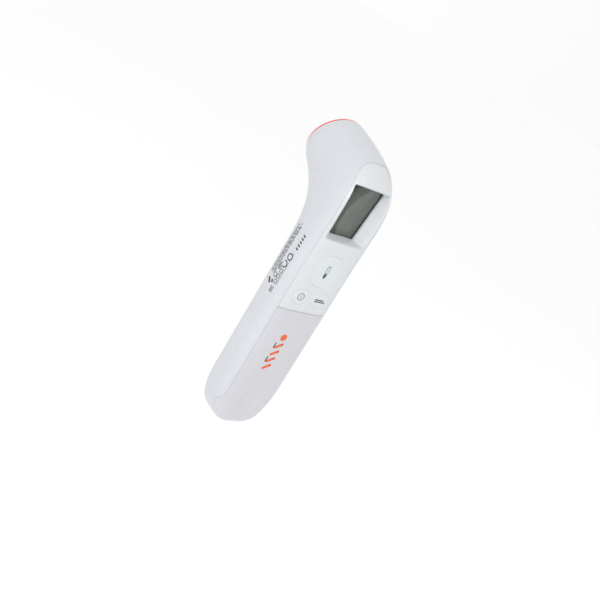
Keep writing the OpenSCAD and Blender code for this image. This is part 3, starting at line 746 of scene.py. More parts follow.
class ThermometerSizes(bpy.types.PropertyGroup):
    """Sizes of the visible pieces that a user would change."""

    seam_round: FloatProperty(name="Seam rounding", default=0.28 * MM, unit="LENGTH", precision=5,
                              description="Radius of the edges along the seams")
    key_crown: FloatProperty(name="Key crown", default=0.22 * MM, unit="LENGTH", precision=5,
                             description="How far a key's middle stands above its edge")
    recess_round: FloatProperty(name="Recess rounding", default=1.7 * MM, unit="LENGTH", precision=5,
                                description="Width of the soft edge round the display's recess")
    dimple_depth: FloatProperty(name="Thumb dimple depth", default=1.15 * MM, unit="LENGTH",
                                precision=5, description="Depth of the dimple on the battery cover")
    mark_lift: FloatProperty(name="Print thickness", default=0.02 * MM, unit="LENGTH", precision=5,
                             description="How far the printed marks stand above the plastic")


class ThermometerColours(bpy.types.PropertyGroup):
    """Colours of the visible finishes."""

    shell: FloatVectorProperty(name="Shell", subtype="COLOR", default=(0.555, 0.57, 0.6),
                               description="Colour of the main shell")
    panel: FloatVectorProperty(name="Front panel", subtype="COLOR", default=(0.6, 0.622, 0.64),
                               description="Colour of the panel round the display")
    cover: FloatVectorProperty(name="Battery cover", subtype="COLOR", default=(0.54, 0.54, 0.575),
                               description="Colour of the battery cover")
    key: FloatVectorProperty(name="Keys", subtype="COLOR", default=(0.6, 0.635, 0.655),
                             description="Colour of the keys")
    rim: FloatVectorProperty(name="Probe rim", subtype="COLOR", default=(0.75, 0.07, 0.025),
                             description="Colour of the rim round the probe")
    mark: FloatVectorProperty(name="Coloured mark", subtype="COLOR", default=(0.72, 0.12, 0.03),
                              description="Colour of the mark on the battery cover")
    ink: FloatVectorProperty(name="Dark print", subtype="COLOR", default=(0.045, 0.05, 0.06),
                             description="Colour of the symbols and the side label")
    display: FloatVectorProperty(name="Display", subtype="COLOR", default=(0.085, 0.112, 0.08),
                                 description="Colour of the liquid-crystal cell")


class ThermometerStage(bpy.types.PropertyGroup):
    """Floor, light and camera."""

    floor_drop: FloatProperty(name="Floor drop", default=0.09, unit="LENGTH",
                              description="Distance from the lower end down to the floor")
    lens: FloatProperty(name="Lens", default=51.0, description="Focal length of the camera")
    key_power: FloatProperty(name="Key light", default=2.1, unit="POWER",
                             description="Power of the large light")
    fill_power: FloatProperty(name="Fill light", default=0.15, unit="POWER",
                              description="Power of the light on the other side")
    world_level: FloatProperty(name="Surrounding light", default=0.98, min=0.0,
                               description="Strength of the white surroundings")


# ---- Body pieces ----

def s_for_front(z, inset):
    """Position s at which the front of the body reaches a height."""
    s = np.linspace(1, 3, 4001)
    heights = rings(s, inset)[1][:, 1]
    return float(np.interp(z, heights, s))


def spaced(*spans):
    """Positions from spans of (start, end, steps)."""
    values = [np.linspace(a, b, n, endpoint=False) for a, b, n in spans]
    return np.concatenate(values + [[spans[-1][1]]])


ROLL_STEPS = (0.0, 0.05, 0.18, 0.38, 0.65, 1.0)


class THERMOMETER_OT_shell(bpy.types.Operator):
    """Main shell with its wall, screw bosses, ledges and cover rails"""

    bl_idname = "thermometer.shell"
    bl_label = "Main shell"

    def execute(self, context):
        roll = context.scene.thermometer_sizes.seam_round / MM
        sheet = Sheet(spaced((0, 0.04, 3), (0.04, 1, 44), (1, 2, 40), (2, 3, 80), (3, 4, 8)),
                      np.linspace(0, 1, 221))

        def outside(sv):
            return -opening(surface(sv, 0.0))

        def outer(sv):
            base = surface(sv, 0.0)
            n = normals_of(lambda at: surface(at, 0.0), sv)
            edge = np.minimum(-opening(base), (4 - sv[:, 0]) * (CONE_LEN - RIM_T))
            share = 0.5 + 0.5 * np.clip((base[:, 2] - COVER_TOP + 2) / 2, 0, 1)
            return base - n * (rolled(edge, roll) * share)[:, None]

        sheet.cut(outside, *(roll * k for k in ROLL_STEPS))
        sheet.cut(lambda sv: (4 - sv[:, 0]) * (CONE_LEN - RIM_T), *(roll * k for k in ROLL_STEPS[1:]))
        sheet.keep(outside)
        sheet.weld()
        piece = Piece()
        piece.add_wall(sheet, outer, lambda sv: surface(sv, WALL))
        screw_z, screw_y = COVER_TOP - 4.6, -HALF_D + 6.0
        for side in (-1, 1):
            piece.add_bmesh(rod_y(side * 9.6, screw_z, screw_y, HALF_D - WALL * 0.75, 2.5, 0.25, 0.95))
            x0, x1 = sorted((side * (SEAM_X - 1.2), side * (HALF_W - WALL * 0.9)))
            piece.add_bmesh(rounded_box((x0, -HALF_D + 4.6, END_H), (x1, -HALF_D + 6.0, BEND_Z), 0.25))
        piece.build("main_shell_body", "housing", "gloss_white", [finishes()["gloss_white"]],
                    ["main_shell"])
        return {"FINISHED"}


class THERMOMETER_OT_panel(bpy.types.Operator):
    """Front panel with the display's recess, the key openings and its screw tongue"""

    bl_idname = "thermometer.panel"
    bl_label = "Front panel"

    def execute(self, context):
        sizes = context.scene.thermometer_sizes
        roll, soft = sizes.seam_round / MM, sizes.recess_round / MM
        fine = roll * 0.3
        s0 = s_for_front(COVER_TOP - 1, PANEL_STEP)
        s1 = s_for_front(PANEL_TOP + 1.5, PANEL_STEP)
        s_sill, s_brow = (s_for_front(z, PANEL_STEP) for z in (RECESS_Z0 - 1, RECESS_Z1 + 1.5))
        s_lip = s_for_front(VIEW_Z0 + 1, PANEL_STEP)
        s_top = s_for_front(VIEW_Z1 - 1, PANEL_STEP)
        sheet = Sheet(spaced((s0, 2, 18), (2, s_sill, 16), (s_sill, s_lip, 14), (s_lip, s_top, 30),
                             (s_top, s_brow, 18), (s_brow, s1, 26)),
                      np.linspace(0.5 - 0.185, 0.5 + 0.185, 150))

        def base(sv):
            return surface(sv, PANEL_STEP)

        def side_edge(points):
            return front_inside(points) - PANEL_GAP

        def small_edge(points):
            ovals = [-oval_inside(points, key, KEY_GAP) for key in KEYS.values()]
            return np.min([*ovals, points[:, 2] - COVER_TOP], axis=0)

        def recess_over(sv):
            points = base(sv)
            return recess_front(points) - points[:, 1]

        def outer(sv):
            points = base(sv)
            deep = raised_max(points[:, 1], recess_front(points), soft)
            n = normals_of(base, sv)
            drop = rolled(side_edge(points), roll) + rolled(small_edge(points), fine)
            points[:, 1] = deep
            return points - n * drop[:, None]

        def inner(sv):
            wall = surface(sv, PANEL_STEP + PANEL_WALL)
            points = base(sv)
            deep = raised_max(points[:, 1], recess_front(points), soft)
            share = np.clip((recess_front(points) - points[:, 1] + 4.5) / 2, 0, 1)
            share = np.maximum(share, np.clip(2 - small_edge(points), 0, 1))
            wall[:, 1] = np.maximum(wall[:, 1], deep + 1.0)
            wall[:, 0] += (points[:, 0] - wall[:, 0]) * share
            wall[:, 2] += (points[:, 2] - wall[:, 2]) * share
            return wall

        for edge, radius in ((side_edge, roll), (small_edge, fine)):
            sheet.cut(lambda sv: edge(base(sv)), *(radius * k for k in ROLL_STEPS))
            sheet.keep(lambda sv: edge(base(sv)))
        sheet.cut(recess_over, *(soft * k for k in (-1, -0.6, -0.25, 0, 0.25, 0.6, 1)))
        sheet.cut(lambda sv: -window_inside(base(sv)), 0.0, 0.12, 0.3, 0.6)
        sheet.keep(lambda sv: -window_inside(base(sv)))
        piece = Piece()
        piece.add_wall(sheet, outer, inner)
        panel_back = -HALF_D + PANEL_STEP + PANEL_WALL
        tongue_y, tongue_x = -HALF_D + 4.4, 12.2
        for low, high in (((-tongue_x, panel_back - 0.4, COVER_TOP + 0.4),
                           (tongue_x, tongue_y + 1.5, COVER_TOP + 2)),
                          ((-tongue_x, tongue_y, COVER_TOP - 8.4),
                           (tongue_x, tongue_y + 1.5, COVER_TOP + 2))):
            piece.add_bmesh(rounded_box(low, high, 0.2))
        for x in (-11.3, 11.3):
            for z in (86.5, 103.1):
                piece.add_bmesh(rod_y(x, z, panel_back - 0.3, BOARD_Y - 0.05, 2.1, 0.15, 0.95))
        piece.build("front_panel_face", "housing", "panel_white", [finishes()["panel_white"]],
                    ["front_panel"])
        return {"FINISHED"}


class THERMOMETER_OT_cover(bpy.types.Operator):
    """Sliding battery cover with its thumb dimple and side rails"""

    bl_idname = "thermometer.cover"
    bl_label = "Battery cover"

    def execute(self, context):
        sizes = context.scene.thermometer_sizes
        roll, depth = sizes.seam_round / MM, sizes.dimple_depth / MM
        s1 = s_for_front(COVER_TOP + 0.5, 0)
        sheet = Sheet(spaced((0.04, 1, 56), (1, s1, 34)), np.linspace(0.5 - 0.25, 0.5 + 0.25, 170))
        ball, ball_z, ball_reach = 19.0, 16.5, 10.0

        def base(sv):
            return surface(sv, 0.0)

        def side_edge(points):
            return np.minimum(front_inside(points), front_side(points)) - COVER_GAP

        def top_edge(points):
            return COVER_TOP - COVER_GAP - points[:, 2]

        def outer(sv):
            points = base(sv)
            drop = rolled(side_edge(points), roll * 0.5) + rolled(top_edge(points), roll * 0.3)
            n = normals_of(base, sv)
            flat = points[:, 0] ** 2 + (points[:, 2] - ball_z) ** 2
            bowl = -HALF_D - ball + depth + np.sqrt(np.maximum(ball * ball - flat, 0))
            moved = points - n * drop[:, None]
            moved[:, 1] = np.where(flat < ball_reach ** 2, raised_max(moved[:, 1], bowl, 0.35), moved[:, 1])
            return moved

        for edge, radius in ((side_edge, roll * 0.5), (top_edge, roll * 0.3)):
            sheet.cut(lambda sv: edge(base(sv)), *(radius * k for k in ROLL_STEPS))
            sheet.keep(lambda sv: edge(base(sv)))
        piece = Piece()
        piece.add_wall(sheet, outer, lambda sv: surface(sv, WALL))
        rail_y = -HALF_D + 2.7
        for side in (-1, 1):
            x0, x1 = sorted((side * (SEAM_X - 0.75), side * (SEAM_X + 0.55)))
            piece.add_bmesh(rounded_box((x0, rail_y, END_H), (x1, rail_y + 0.8, COVER_TOP - 1), 0.15))
        piece.build("battery_cover_face", "battery_cover", "gloss_white",
                    [finishes()["cover_white"]], ["battery_cover"])
        return {"FINISHED"}


class THERMOMETER_OT_keys(bpy.types.Operator):
    """The scan, power and memory keys with their flanges and stems"""

    bl_idname = "thermometer.keys"
    bl_label = "Keys"

    def execute(self, context):
        sizes = context.scene.thermometer_sizes
        roll, crown = sizes.seam_round / MM * 0.3, sizes.key_crown / MM
        for name, key in KEYS.items():
            x0, z0, width, height, squareness = key
            s0, s1 = (s_for_front(z, PANEL_STEP) for z in (z0 - height / 2 - 0.5, z0 + height / 2 + 0.5))
            around = 2 * (HALF_W + HALF_D) * 1.75
            v0 = 0.5 - (x0 + width / 2 + 1) / around
            v1 = 0.5 - (x0 - width / 2 - 1) / around
            sheet = Sheet(np.linspace(s0, s1, 44), np.linspace(v0, v1, 44))

            def base(sv):
                return surface(sv, PANEL_STEP)

            def edge(sv):
                return oval_inside(base(sv), key)

            def outer(sv):
                points = base(sv)
                inside = oval_inside(points, key)
                n = normals_of(base, sv)
                part = np.clip(inside / (height / 2), 0, 1)
                lift = crown * (1 - (1 - part) ** 2) - rolled(inside, roll)
                return points + n * lift[:, None]

            def inner(sv):
                points = base(sv)
                points[:, 1] += 1.6
                points[:, 0] -= (points[:, 0] - x0) * 0.01
                points[:, 2] -= (points[:, 2] - z0) * 0.01
                return points

            sheet.cut(edge, *(roll * k for k in ROLL_STEPS))
            sheet.keep(edge)
            piece = Piece()
            piece.add_wall(sheet, outer, inner)
            reach = abs(x0) + width / 2 + KEY_FLANGE
            half_w, half_d = (v - PANEL_STEP - PANEL_WALL for v in (HALF_W, HALF_D))
            flange_y = 0.15 - half_d * (1 - (reach / half_w) ** FRONT_CORNER) ** (1 / FRONT_CORNER)
            bm = bmesh.new()
            rows = []
            flange_end = flange_y + 0.8
            for y, grow in ((flange_y, -0.15), (flange_y, 0), (flange_end, 0), (flange_end, -0.15)):
                row = []
                for i in range(64):
                    a = 2 * math.pi * i / 64
                    u = math.copysign(abs(math.cos(a)) ** (2 / squareness), math.cos(a))
                    w = math.copysign(abs(math.sin(a)) ** (2 / squareness), math.sin(a))
                    row.append(bm.verts.new((x0 + (width / 2 + KEY_FLANGE + grow) * u, y,
                                             z0 + (height / 2 + KEY_FLANGE + grow) * w)))
                rows.append(row)
            for low, high in zip(rows, rows[1:]):
                for i in range(64):
                    bm.faces.new([low[i], low[i - 63], high[i - 63], high[i]])
            bm.faces.new(rows[0])
            bm.faces.new(rows[-1])
            piece.add_bmesh(bm)
            piece.add_bmesh(rod_y(x0, z0, flange_y + 0.1, STEM_Y, 1.5))
            piece.add_bmesh(rod_y(x0, z0, -HALF_D + PANEL_STEP + 1.2, flange_y + 0.2, 3.0))
            piece.build(name + "_cap", name, "key_white", [finishes()["key_white"]], [name])
        return {"FINISHED"}


# ---- Probe ----

class THERMOMETER_OT_probe(bpy.types.Operator):
    """Coloured rim, polished cone, sensor can and its window"""

    bl_idname = "thermometer.probe"
    bl_label = "Probe"

    def execute(self, context):
        mouth, throat, throat_z = TIP_R - 4.6, 3.6, -13.5
        wall_r = mouth + 0.25
        bore = wall_r + 0.15
        edge_r = TIP_R - 0.1
        spigot = TIP_R + RIM_T * math.tan(TAPER) - WALL / math.cos(TAPER) - 0.15
        turned = {
            "probe_rim_ring": ("rim_red", "probe_rim", 0.22, [
                (bore, -1.05), (bore, -0.45), (bore + 0.45, 0), (edge_r - 0.35, 0), (edge_r, -0.35),
                (edge_r, -1.05), (spigot, -1.05), (spigot, -4.0), (spigot - 1.1, -4.0),
                (spigot - 1.1, -1.05)]),
            "probe_cone_funnel": ("cone_metal", "probe_cone", 0.12, [
                (mouth, -0.5), (6.4, -7.0), (throat, throat_z), (throat, throat_z - 0.7),
                (4.65, throat_z - 0.7), (4.65, -19.6), (5.7, -19.6), (5.7, throat_z + 1.1),
                (wall_r, -3.6), (wall_r, -0.5)]),
            "thermopile_can_body": ("steel", "thermopile_can", 0.12, [
                (0, -14.9), (2.75, -14.9), (2.75, -14.4), (4.1, -14.4), (4.1, -18.0),
                (4.55, -18.0), (4.55, -18.6), (0, -18.6)]),
            "infrared_window_pane": ("window_dark", "infrared_window", 0.05, [
                (0, -14.5), (2.7, -14.5), (2.7, -14.9), (0, -14.9)]),
        }
        for name, (finish, node, soften, profile) in turned.items():
            closed = profile[0][0] > 0
            piece = Piece()
            piece.add_bmesh(lathe(softened(profile, soften, closed), PROBE_PLACE, closed, 128))
            piece.build(name, "housing", finish, [finishes()[finish]], [node])
        for node, finish in (("sensor_holder", "dark_plastic"), ("sensor_pins", "gold_pin"),
                             ("sensor_board", "board_green"), ("sensor_ribbon", "ribbon_amber")):
            paint_node(node, finish)
        return {"FINISHED"}


class THERMOMETER_OT_display(bpy.types.Operator):
    """Clear window, liquid-crystal cell and the pieces behind it"""

    bl_idname = "thermometer.display"
    bl_label = "Display"

    def execute(self, context):
        for node, name, finish, radius in (("display_lens", "display_lens_plate", "lens_clear", 0.15),
                                           ("display_glass", "display_glass_cell", "lcd_green", 0.1)):
            low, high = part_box(node)
            low, high = ([c / MM for c in corner] for corner in (low, high))
            low[1] += MID_Y
            high[1] += MID_Y
            piece = Piece()
            piece.add_bmesh(rounded_box(low, high, radius))
            piece.build(name, "housing", finish, [finishes()[finish]], [node])
        for node, finish in (("display_frame", "frame_white"), ("light_guide", "guide_plastic"),
                             ("contact_strip", "elastomer")):
            paint_node(node, finish)
        return {"FINISHED"}


# ---- Inside ----

class THERMOMETER_OT_cells(bpy.types.Operator):
    """Two cells with film jackets and bright ends, in their tray"""

    bl_idname = "thermometer.cells"
    bl_label = "Cells"

    def execute(self, context):
        for name, x, z, turned in (("battery_left", -CELL_X, LEFT_CELL_Z, True),
                                   ("battery_right", CELL_X, RIGHT_CELL_Z, False)):
            r, body = CELL_D / 2, CELL_LEN - 0.8
            place = Matrix.Translation((x, CELL_Y, z + (CELL_LEN if turned else 0)))
            if turned:
                place = place @ Matrix.Rotation(math.pi, 4, "X")
            jacket = [(r - 0.9, 0.12), (r - 0.25, 0.0), (r, 0.3), (r, body - 0.3), (r - 0.25, body),
                      (r - 1.1, body - 0.12), (r - 1.1, body - 0.4), (r - 0.3, body - 0.5),
                      (r - 0.3, 0.5), (r - 0.9, 0.4)]
            metal = [(0, 0.16), (r - 0.95, 0.16), (r - 0.35, 0.55), (r - 0.35, body - 0.55),
                     (r - 1.15, body - 0.3), (2.4, body - 0.3), (1.95, body - 0.05),
                     (1.85, CELL_LEN - 0.1), (0, CELL_LEN)]
            piece = Piece()
            piece.add_bmesh(lathe(softened(jacket, 0.12, True), place, True, 72), 0)
            piece.add_bmesh(lathe(softened(metal, 0.12, False), place, False, 72), 1)
            piece.build(name + "_cell", "housing", "cell_jacket",
                        [finishes()["cell_jacket"], finishes()["steel"]], [name])
        paint_node("battery_tray", "tray_grey")
        return {"FINISHED"}


def new_tree(name, *sockets):
    """A geometry node tree with named inputs (name, type) after its geometry socket."""
    tree = bpy.data.node_groups.new(name, "GeometryNodeTree")
    tree.interface.new_socket(name="Geometry", in_out="INPUT", socket_type="NodeSocketGeometry")
    tree.interface.new_socket(name="Geometry", in_out="OUTPUT", socket_type="NodeSocketGeometry")
    for label, kind in sockets:
        tree.interface.new_socket(name=label, in_out="INPUT", socket_type=kind)
    source, result = tree.nodes.new("NodeGroupInput"), tree.nodes.new("NodeGroupOutput")

    def add(kind, settings=None, **inputs):
        node = tree.nodes.new(kind)
        for key, value in (settings or {}).items():
            setattr(node, key, value)
        for key, value in inputs.items():
            socket = node.inputs[int(key[1:]) if key[0] == "_" else key.replace("_", " ")]
            if isinstance(value, bpy.types.NodeSocket):
                tree.links.new(value, socket)
            else:
                socket.default_value = value
        return node

    def end(geometry):
        real = add("GeometryNodeRealizeInstances", Geometry=geometry)
        painted = add("GeometryNodeSetMaterial", Geometry=real.outputs[0],
                      Material=source.outputs["Material"])
        tree.links.new(painted.outputs[0], result.inputs[0])

    return tree, source.outputs, add, end


def grown(name, mesh, tree, values, thickness=0.0):
    """Runs a tree on a mesh with the given inputs and returns the plain result."""
    carrier = bpy.data.objects.new(name + "_carrier", mesh)
    bpy.context.scene.collection.objects.link(carrier)
    modifier = carrier.modifiers.new("grow", "NODES")
    modifier.node_group = tree
    for item in tree.interface.items_tree:
        if item.item_type == "SOCKET" and item.in_out == "INPUT" and item.name in values:
            modifier[item.identifier] = values[item.name]
    if thickness:
        solid = carrier.modifiers.new("thickness", "SOLIDIFY")
        solid.thickness, solid.offset = thickness, 1.0
    bpy.context.view_layer.update()
    graph = bpy.context.evaluated_depsgraph_get()
    result = bpy.data.meshes.new_from_object(carrier.evaluated_get(graph), depsgraph=graph)
    if not result.polygons:
        raise RuntimeError(name + " came out empty")
    bpy.data.objects.remove(carrier)
    return result


def placed(x, y, z):
    """Handle millimetres to the part's own metres."""
    return Vector((x, y - MID_Y, z)) * MM


class THERMOMETER_OT_contacts(bpy.types.Operator):
    """Coil springs and flat contacts of the battery bay"""

    bl_idname = "thermometer.contacts"
    bl_label = "Battery contacts"

    def execute(self, context):
        tree, given, add, end = new_tree(
            "coil_pair", ("Turns", "NodeSocketFloat"), ("Base Radius", "NodeSocketFloat"),
            ("Top Radius", "NodeSocketFloat"), ("Height", "NodeSocketFloat"),
            ("Wire Radius", "NodeSocketFloat"), ("Lower Place", "NodeSocketVector"),
            ("Upper Place", "NodeSocketVector"), ("Material", "NodeSocketMaterial"))
        spiral = add("GeometryNodeCurveSpiral", Resolution=28, Rotations=given["Turns"],
                     Start_Radius=given["Base Radius"], End_Radius=given["Top Radius"],
                     Height=given["Height"])
        wire = add("GeometryNodeCurvePrimitiveCircle", Resolution=12, Radius=given["Wire Radius"])
        coil = add("GeometryNodeCurveToMesh", Curve=spiral.outputs[0],
                   Profile_Curve=wire.outputs[0], Fill_Caps=True)
        smooth = add("GeometryNodeSetShadeSmooth", Geometry=coil.outputs[0])
        low = add("GeometryNodeTransform", Geometry=smooth.outputs[0],
                  Translation=given["Lower Place"])
        high = add("GeometryNodeTransform", Geometry=smooth.outputs[0],
                   Translation=given["Upper Place"], Rotation=(math.pi, 0, 0))
        both = add("GeometryNodeJoinGeometry")
        for part in (low, high):
            both.id_data.links.new(part.outputs[0], both.inputs[0])
        end(both.outputs[0])
        lift = 0.3
        height = SPRING_LEN - 0.6
        values = {
            "Turns": 3.0, "Base Radius": 2.6 * MM, "Top Radius": 1.7 * MM, "Height": height * MM,
            "Wire Radius": 0.25 * MM, "Material": finishes()["steel"],
            "Lower Place": placed(CELL_X, CELL_Y, BAY_Z0 + CONTACT_T + lift),
            "Upper Place": placed(-CELL_X, CELL_Y, LEFT_CELL_Z + CELL_LEN + SPRING_LEN - lift),
        }
        mesh = grown("coils", bpy.data.meshes.new("coil_seed"), tree, values)
        finish_piece(mesh, "contact_coils", "housing", "steel", ["contact_springs"])
        for node in ("lower_contact", "upper_contacts"):
            paint_node(node, "steel")
        return {"FINISHED"}


def screw_mesh(length):
    """Pan-head screw along +Z from under its head, with a cross recess and a thread."""
    bm = lathe(softened([(0, -1.1), (1.15, -1.05), (1.75, -0.7), (1.9, -0.2), (1.9, 0), (0.72, 0),
                         (0.72, length - 0.5), (0.3, length), (0, length)], 0.12, False),
               Matrix.Identity(4), False, 32)
    turns, sides = int((length - 0.8) / 0.55), 20
    low_row = None
    for i in range(turns * sides + 1):
        a = 2 * math.pi * i / sides
        z = 0.4 + 0.55 * i / sides
        fade = min(1, i / sides * 2, (turns * sides - i) / sides * 2)
        row = [bm.verts.new((r * math.cos(a), r * math.sin(a), z + dz)) for r, dz in
               ((0.7, -0.16), (0.7 + 0.2 * fade, -0.02), (0.7 + 0.2 * fade, 0.02), (0.7, 0.16))]
        if low_row:
            for k in range(4):
                bm.faces.new([low_row[k - 1], row[k - 1], row[k], low_row[k]])
        else:
            bm.faces.new(row)
        low_row = row
    bm.faces.new(low_row[::-1])
    bmesh.ops.recalc_face_normals(bm, faces=bm.faces)
    for v in bm.verts:
        v.co *= MM
    head = bpy.data.meshes.new("screw")
    bm.to_mesh(head)
    bm.free()
    carrier = bpy.data.objects.new("screw", head)
    bpy.context.scene.collection.objects.link(carrier)
    cutter_mesh = bpy.data.meshes.new("cross")
    cross = bmesh.new()
    for turn in (0, math.pi / 2):
        bmesh.ops.create_cube(cross, size=1.0, matrix=Matrix.Rotation(turn, 4, "Z")
                              @ Matrix.Translation((0, 0, -1.0 * MM))
                              @ Matrix.Diagonal((2.0 * MM, 0.45 * MM, 1.1 * MM, 1)))
    cross.to_mesh(cutter_mesh)
    cross.free()
    cutter = bpy.data.objects.new("cross", cutter_mesh)
    bpy.context.scene.collection.objects.link(cutter)
    cut = carrier.modifiers.new("cross", "BOOLEAN")
    cut.object, cut.operation, cut.solver = cutter, "DIFFERENCE", "EXACT"
    cut.use_self = True
    graph = bpy.context.evaluated_depsgraph_get()
    result = bpy.data.meshes.new_from_object(carrier.evaluated_get(graph), depsgraph=graph)
    bpy.data.objects.remove(carrier)
    bpy.data.objects.remove(cutter)
    result.shade_smooth()
    result.set_sharp_from_angle(angle=math.radians(32))
    return result


class THERMOMETER_OT_screws(bpy.types.Operator):
    """Screws of the board and of the panel, set out from their places"""

    bl_idname = "thermometer.screws"
    bl_label = "Screws"

    def execute(self, context):
        tree, given, add, end = new_tree(
            "screw_set", ("Screw", "NodeSocketObject"), ("Turn", "NodeSocketRotation"),
            ("Material", "NodeSocketMaterial"))
        points = add("GeometryNodeMeshToPoints", Mesh=given["Geometry"])
        screw = add("GeometryNodeObjectInfo", Object=given["Screw"])
        placed_screws = add("GeometryNodeInstanceOnPoints", Points=points.outputs[0],
                            Instance=screw.outputs["Geometry"], Rotation=given["Turn"])
        end(placed_screws.outputs[0])
        sets = (
            ("board_screw_set", "board_screws", BOARD_BACK + 0.05, 5.9, math.pi / 2,
             [(x, z) for x in (-11.3, 11.3) for z in (86.5, 103.1)]),
            ("case_screw_set", "case_screws", -HALF_D + 4.35, 7.9, -math.pi / 2,
             [(x, COVER_TOP - 4.6) for x in (-9.6, 9.6)]),
        )
        for name, node, y, length, turn, places in sets:
            screw = bpy.data.objects.new("screw_master", screw_mesh(length))
            bpy.context.scene.collection.objects.link(screw)
            seed = bpy.data.meshes.new(name + "_places")
            seed.from_pydata([placed(x, y, z) for x, z in places], [], [])
            mesh = grown(name, seed, tree, {"Screw": screw, "Turn": (turn, 0, 0),
                                            "Material": finishes()["screw_steel"]})
            bpy.data.objects.remove(screw)
            finish_piece(mesh, name, "housing", "screw_steel", [node])
        return {"FINISHED"}


class THERMOMETER_OT_electronics(bpy.types.Operator):
    """Finishes of the board, the chip, the small parts, the switches and the buzzer"""

    bl_idname = "thermometer.electronics"
    bl_label = "Electronics"

    def execute(self, context):
        for node, finish in (("main_board", "board_green"), ("controller_chip", "chip_black"),
                             ("board_components", "component_tan"), ("key_switches", "dark_plastic"),
                             ("buzzer", "chip_black")):
            paint_node(node, finish)
        return {"FINISHED"}


# ---- Printed marks: flat strips that are laid onto a surface ----

class Flat:
    """Collects flat strips as (u, w) points in millimetres."""

    def __init__(self):
        self.points, self.faces = [], []

    def strip(self, path, width, closed=False):
        """A band of even width along a path."""
        path = np.array(path, float)
        ahead = np.roll(path, -1, 0) - np.roll(path, 1, 0)
        if not closed:
            ahead[0], ahead[-1] = path[1] - path[0], path[-1] - path[-2]
        side = np.stack([-ahead[:, 1], ahead[:, 0]], 1)
        side *= width / 2 / np.linalg.norm(side, axis=1)[:, None]
        first, across = len(self.points), 3
        for p, s in zip(path, side):
            self.points += [tuple(p + s * (1 - 2 * k / (across - 1))) for k in range(across)]
        count = len(path)
        for i in range(count if closed else count - 1):
            for k in range(across - 1):
                a, b = first + i * across + k, first + (i + 1) % count * across + k
                self.faces.append([a, a + 1, b + 1, b])

    def bar(self, start, end, width, round_ends=False):
        start, end = np.array(start, float), np.array(end, float)
        steps = max(2, int(np.linalg.norm(end - start) / 0.5) + 1)
        self.strip([start + (end - start) * i / steps for i in range(steps + 1)], width)
        if round_ends:
            for p in (start, end):
                self.disc(p, width / 2)

    def ring(self, centre, radius, width, start=0.0, sweep=360.0):
        closed = sweep >= 360
        steps = 48
        angles = [math.radians(start + sweep * i / steps) for i in range(steps + (not closed))]
        self.strip([(centre[0] + radius * math.cos(a), centre[1] + radius * math.sin(a))
                    for a in angles], width, closed)

    def disc(self, centre, radius):
        first = len(self.points)
        sides = 20
        self.points.append(tuple(centre))
        for i in range(sides):
            a = 2 * math.pi * i / sides
            self.points.append((centre[0] + radius * math.cos(a), centre[1] + radius * math.sin(a)))
        self.faces += [[first, first + 1 + i, first + 1 + (i + 1) % sides] for i in range(sides)]

    def mesh(self, name, to_place):
        mesh = bpy.data.meshes.new(name)
        mesh.from_pydata([placed(*to_place(u, w)) for u, w in self.points], [], self.faces)
        return mesh


def laid_tree():
    """Moves each point along a direction onto a surface and a little above it."""
    tree, given, add, end = new_tree(
        "laid_print", ("Surface", "NodeSocketObject"), ("Direction", "NodeSocketVector"),
        ("Lift", "NodeSocketFloat"), ("Material", "NodeSocketMaterial"))
    surface_in = add("GeometryNodeObjectInfo", Object=given["Surface"])
    ray = add("GeometryNodeRaycast")
    tree.links.new(surface_in.outputs["Geometry"], ray.inputs["Target Geometry"])
    tree.links.new(given["Direction"], ray.inputs["Ray Direction"])
    ray.inputs["Ray Length"].default_value = 0.2
    lift = add("ShaderNodeVectorMath", {"operation": "SCALE"}, _0=ray.outputs["Hit Normal"])
    tree.links.new(given["Lift"], lift.inputs["Scale"])
    total = add("ShaderNodeVectorMath", {"operation": "ADD"}, _0=ray.outputs["Hit Position"],
                _1=lift.outputs[0])
    moved = add("GeometryNodeSetPosition", Geometry=given["Geometry"],
                Selection=ray.outputs["Is Hit"], Position=total.outputs[0])
    end(moved.outputs[0])
    return tree


def scan_symbol():
    """A small thermometer: outline stem with a filled lower end."""
    f = Flat()
    x, low, high, half = -0.4, 89.6, 96.4, 0.75
    f.bar((x - half, low + 2.4), (x - half, high - 0.3), 0.3)
    f.bar((x + half, low + 2.4), (x + half, high - 0.3), 0.3)
    f.bar((x - half - 0.15, high - 0.3), (x + half + 0.15, high - 0.3), 0.3)
    f.bar((x, low + 0.6), (x, low + 2.6), 1.7)
    f.bar((x, low), (x, low + 0.7), 0.9)
    return f


def power_symbol():
    """A ring with a short line in it."""
    f = Flat()
    f.ring((-6.5, 78), 1.75, 0.32)
    f.bar((-6.5, 77.2), (-6.5, 78.9), 0.34)
    return f


def memory_symbol():
    """Two stacked lines, as on a list."""
    f = Flat()
    for i in range(2):
        f.bar((2.6, 77.3 + i * 1.0), (9.6 - 1.4 * i, 77.3 + i * 1.0), 0.62)
    return f


def cover_mark():
    """A row of slanted rounded strokes with a dot at its upper end."""
    f = Flat()
    for i in range(4):
        z = 38.0 + i * 4.1
        f.bar((-3.9, z - 1.0), (-0.7, z + 1.0), 1.6, True)
    f.disc((-2.3, 55.2), 1.9)
    return f


def cover_dashes():
    f = Flat()
    for z in (40.6, 48.8):
        f.bar((-4.9, z), (-4.9, z + 3.2), 0.75)
    return f


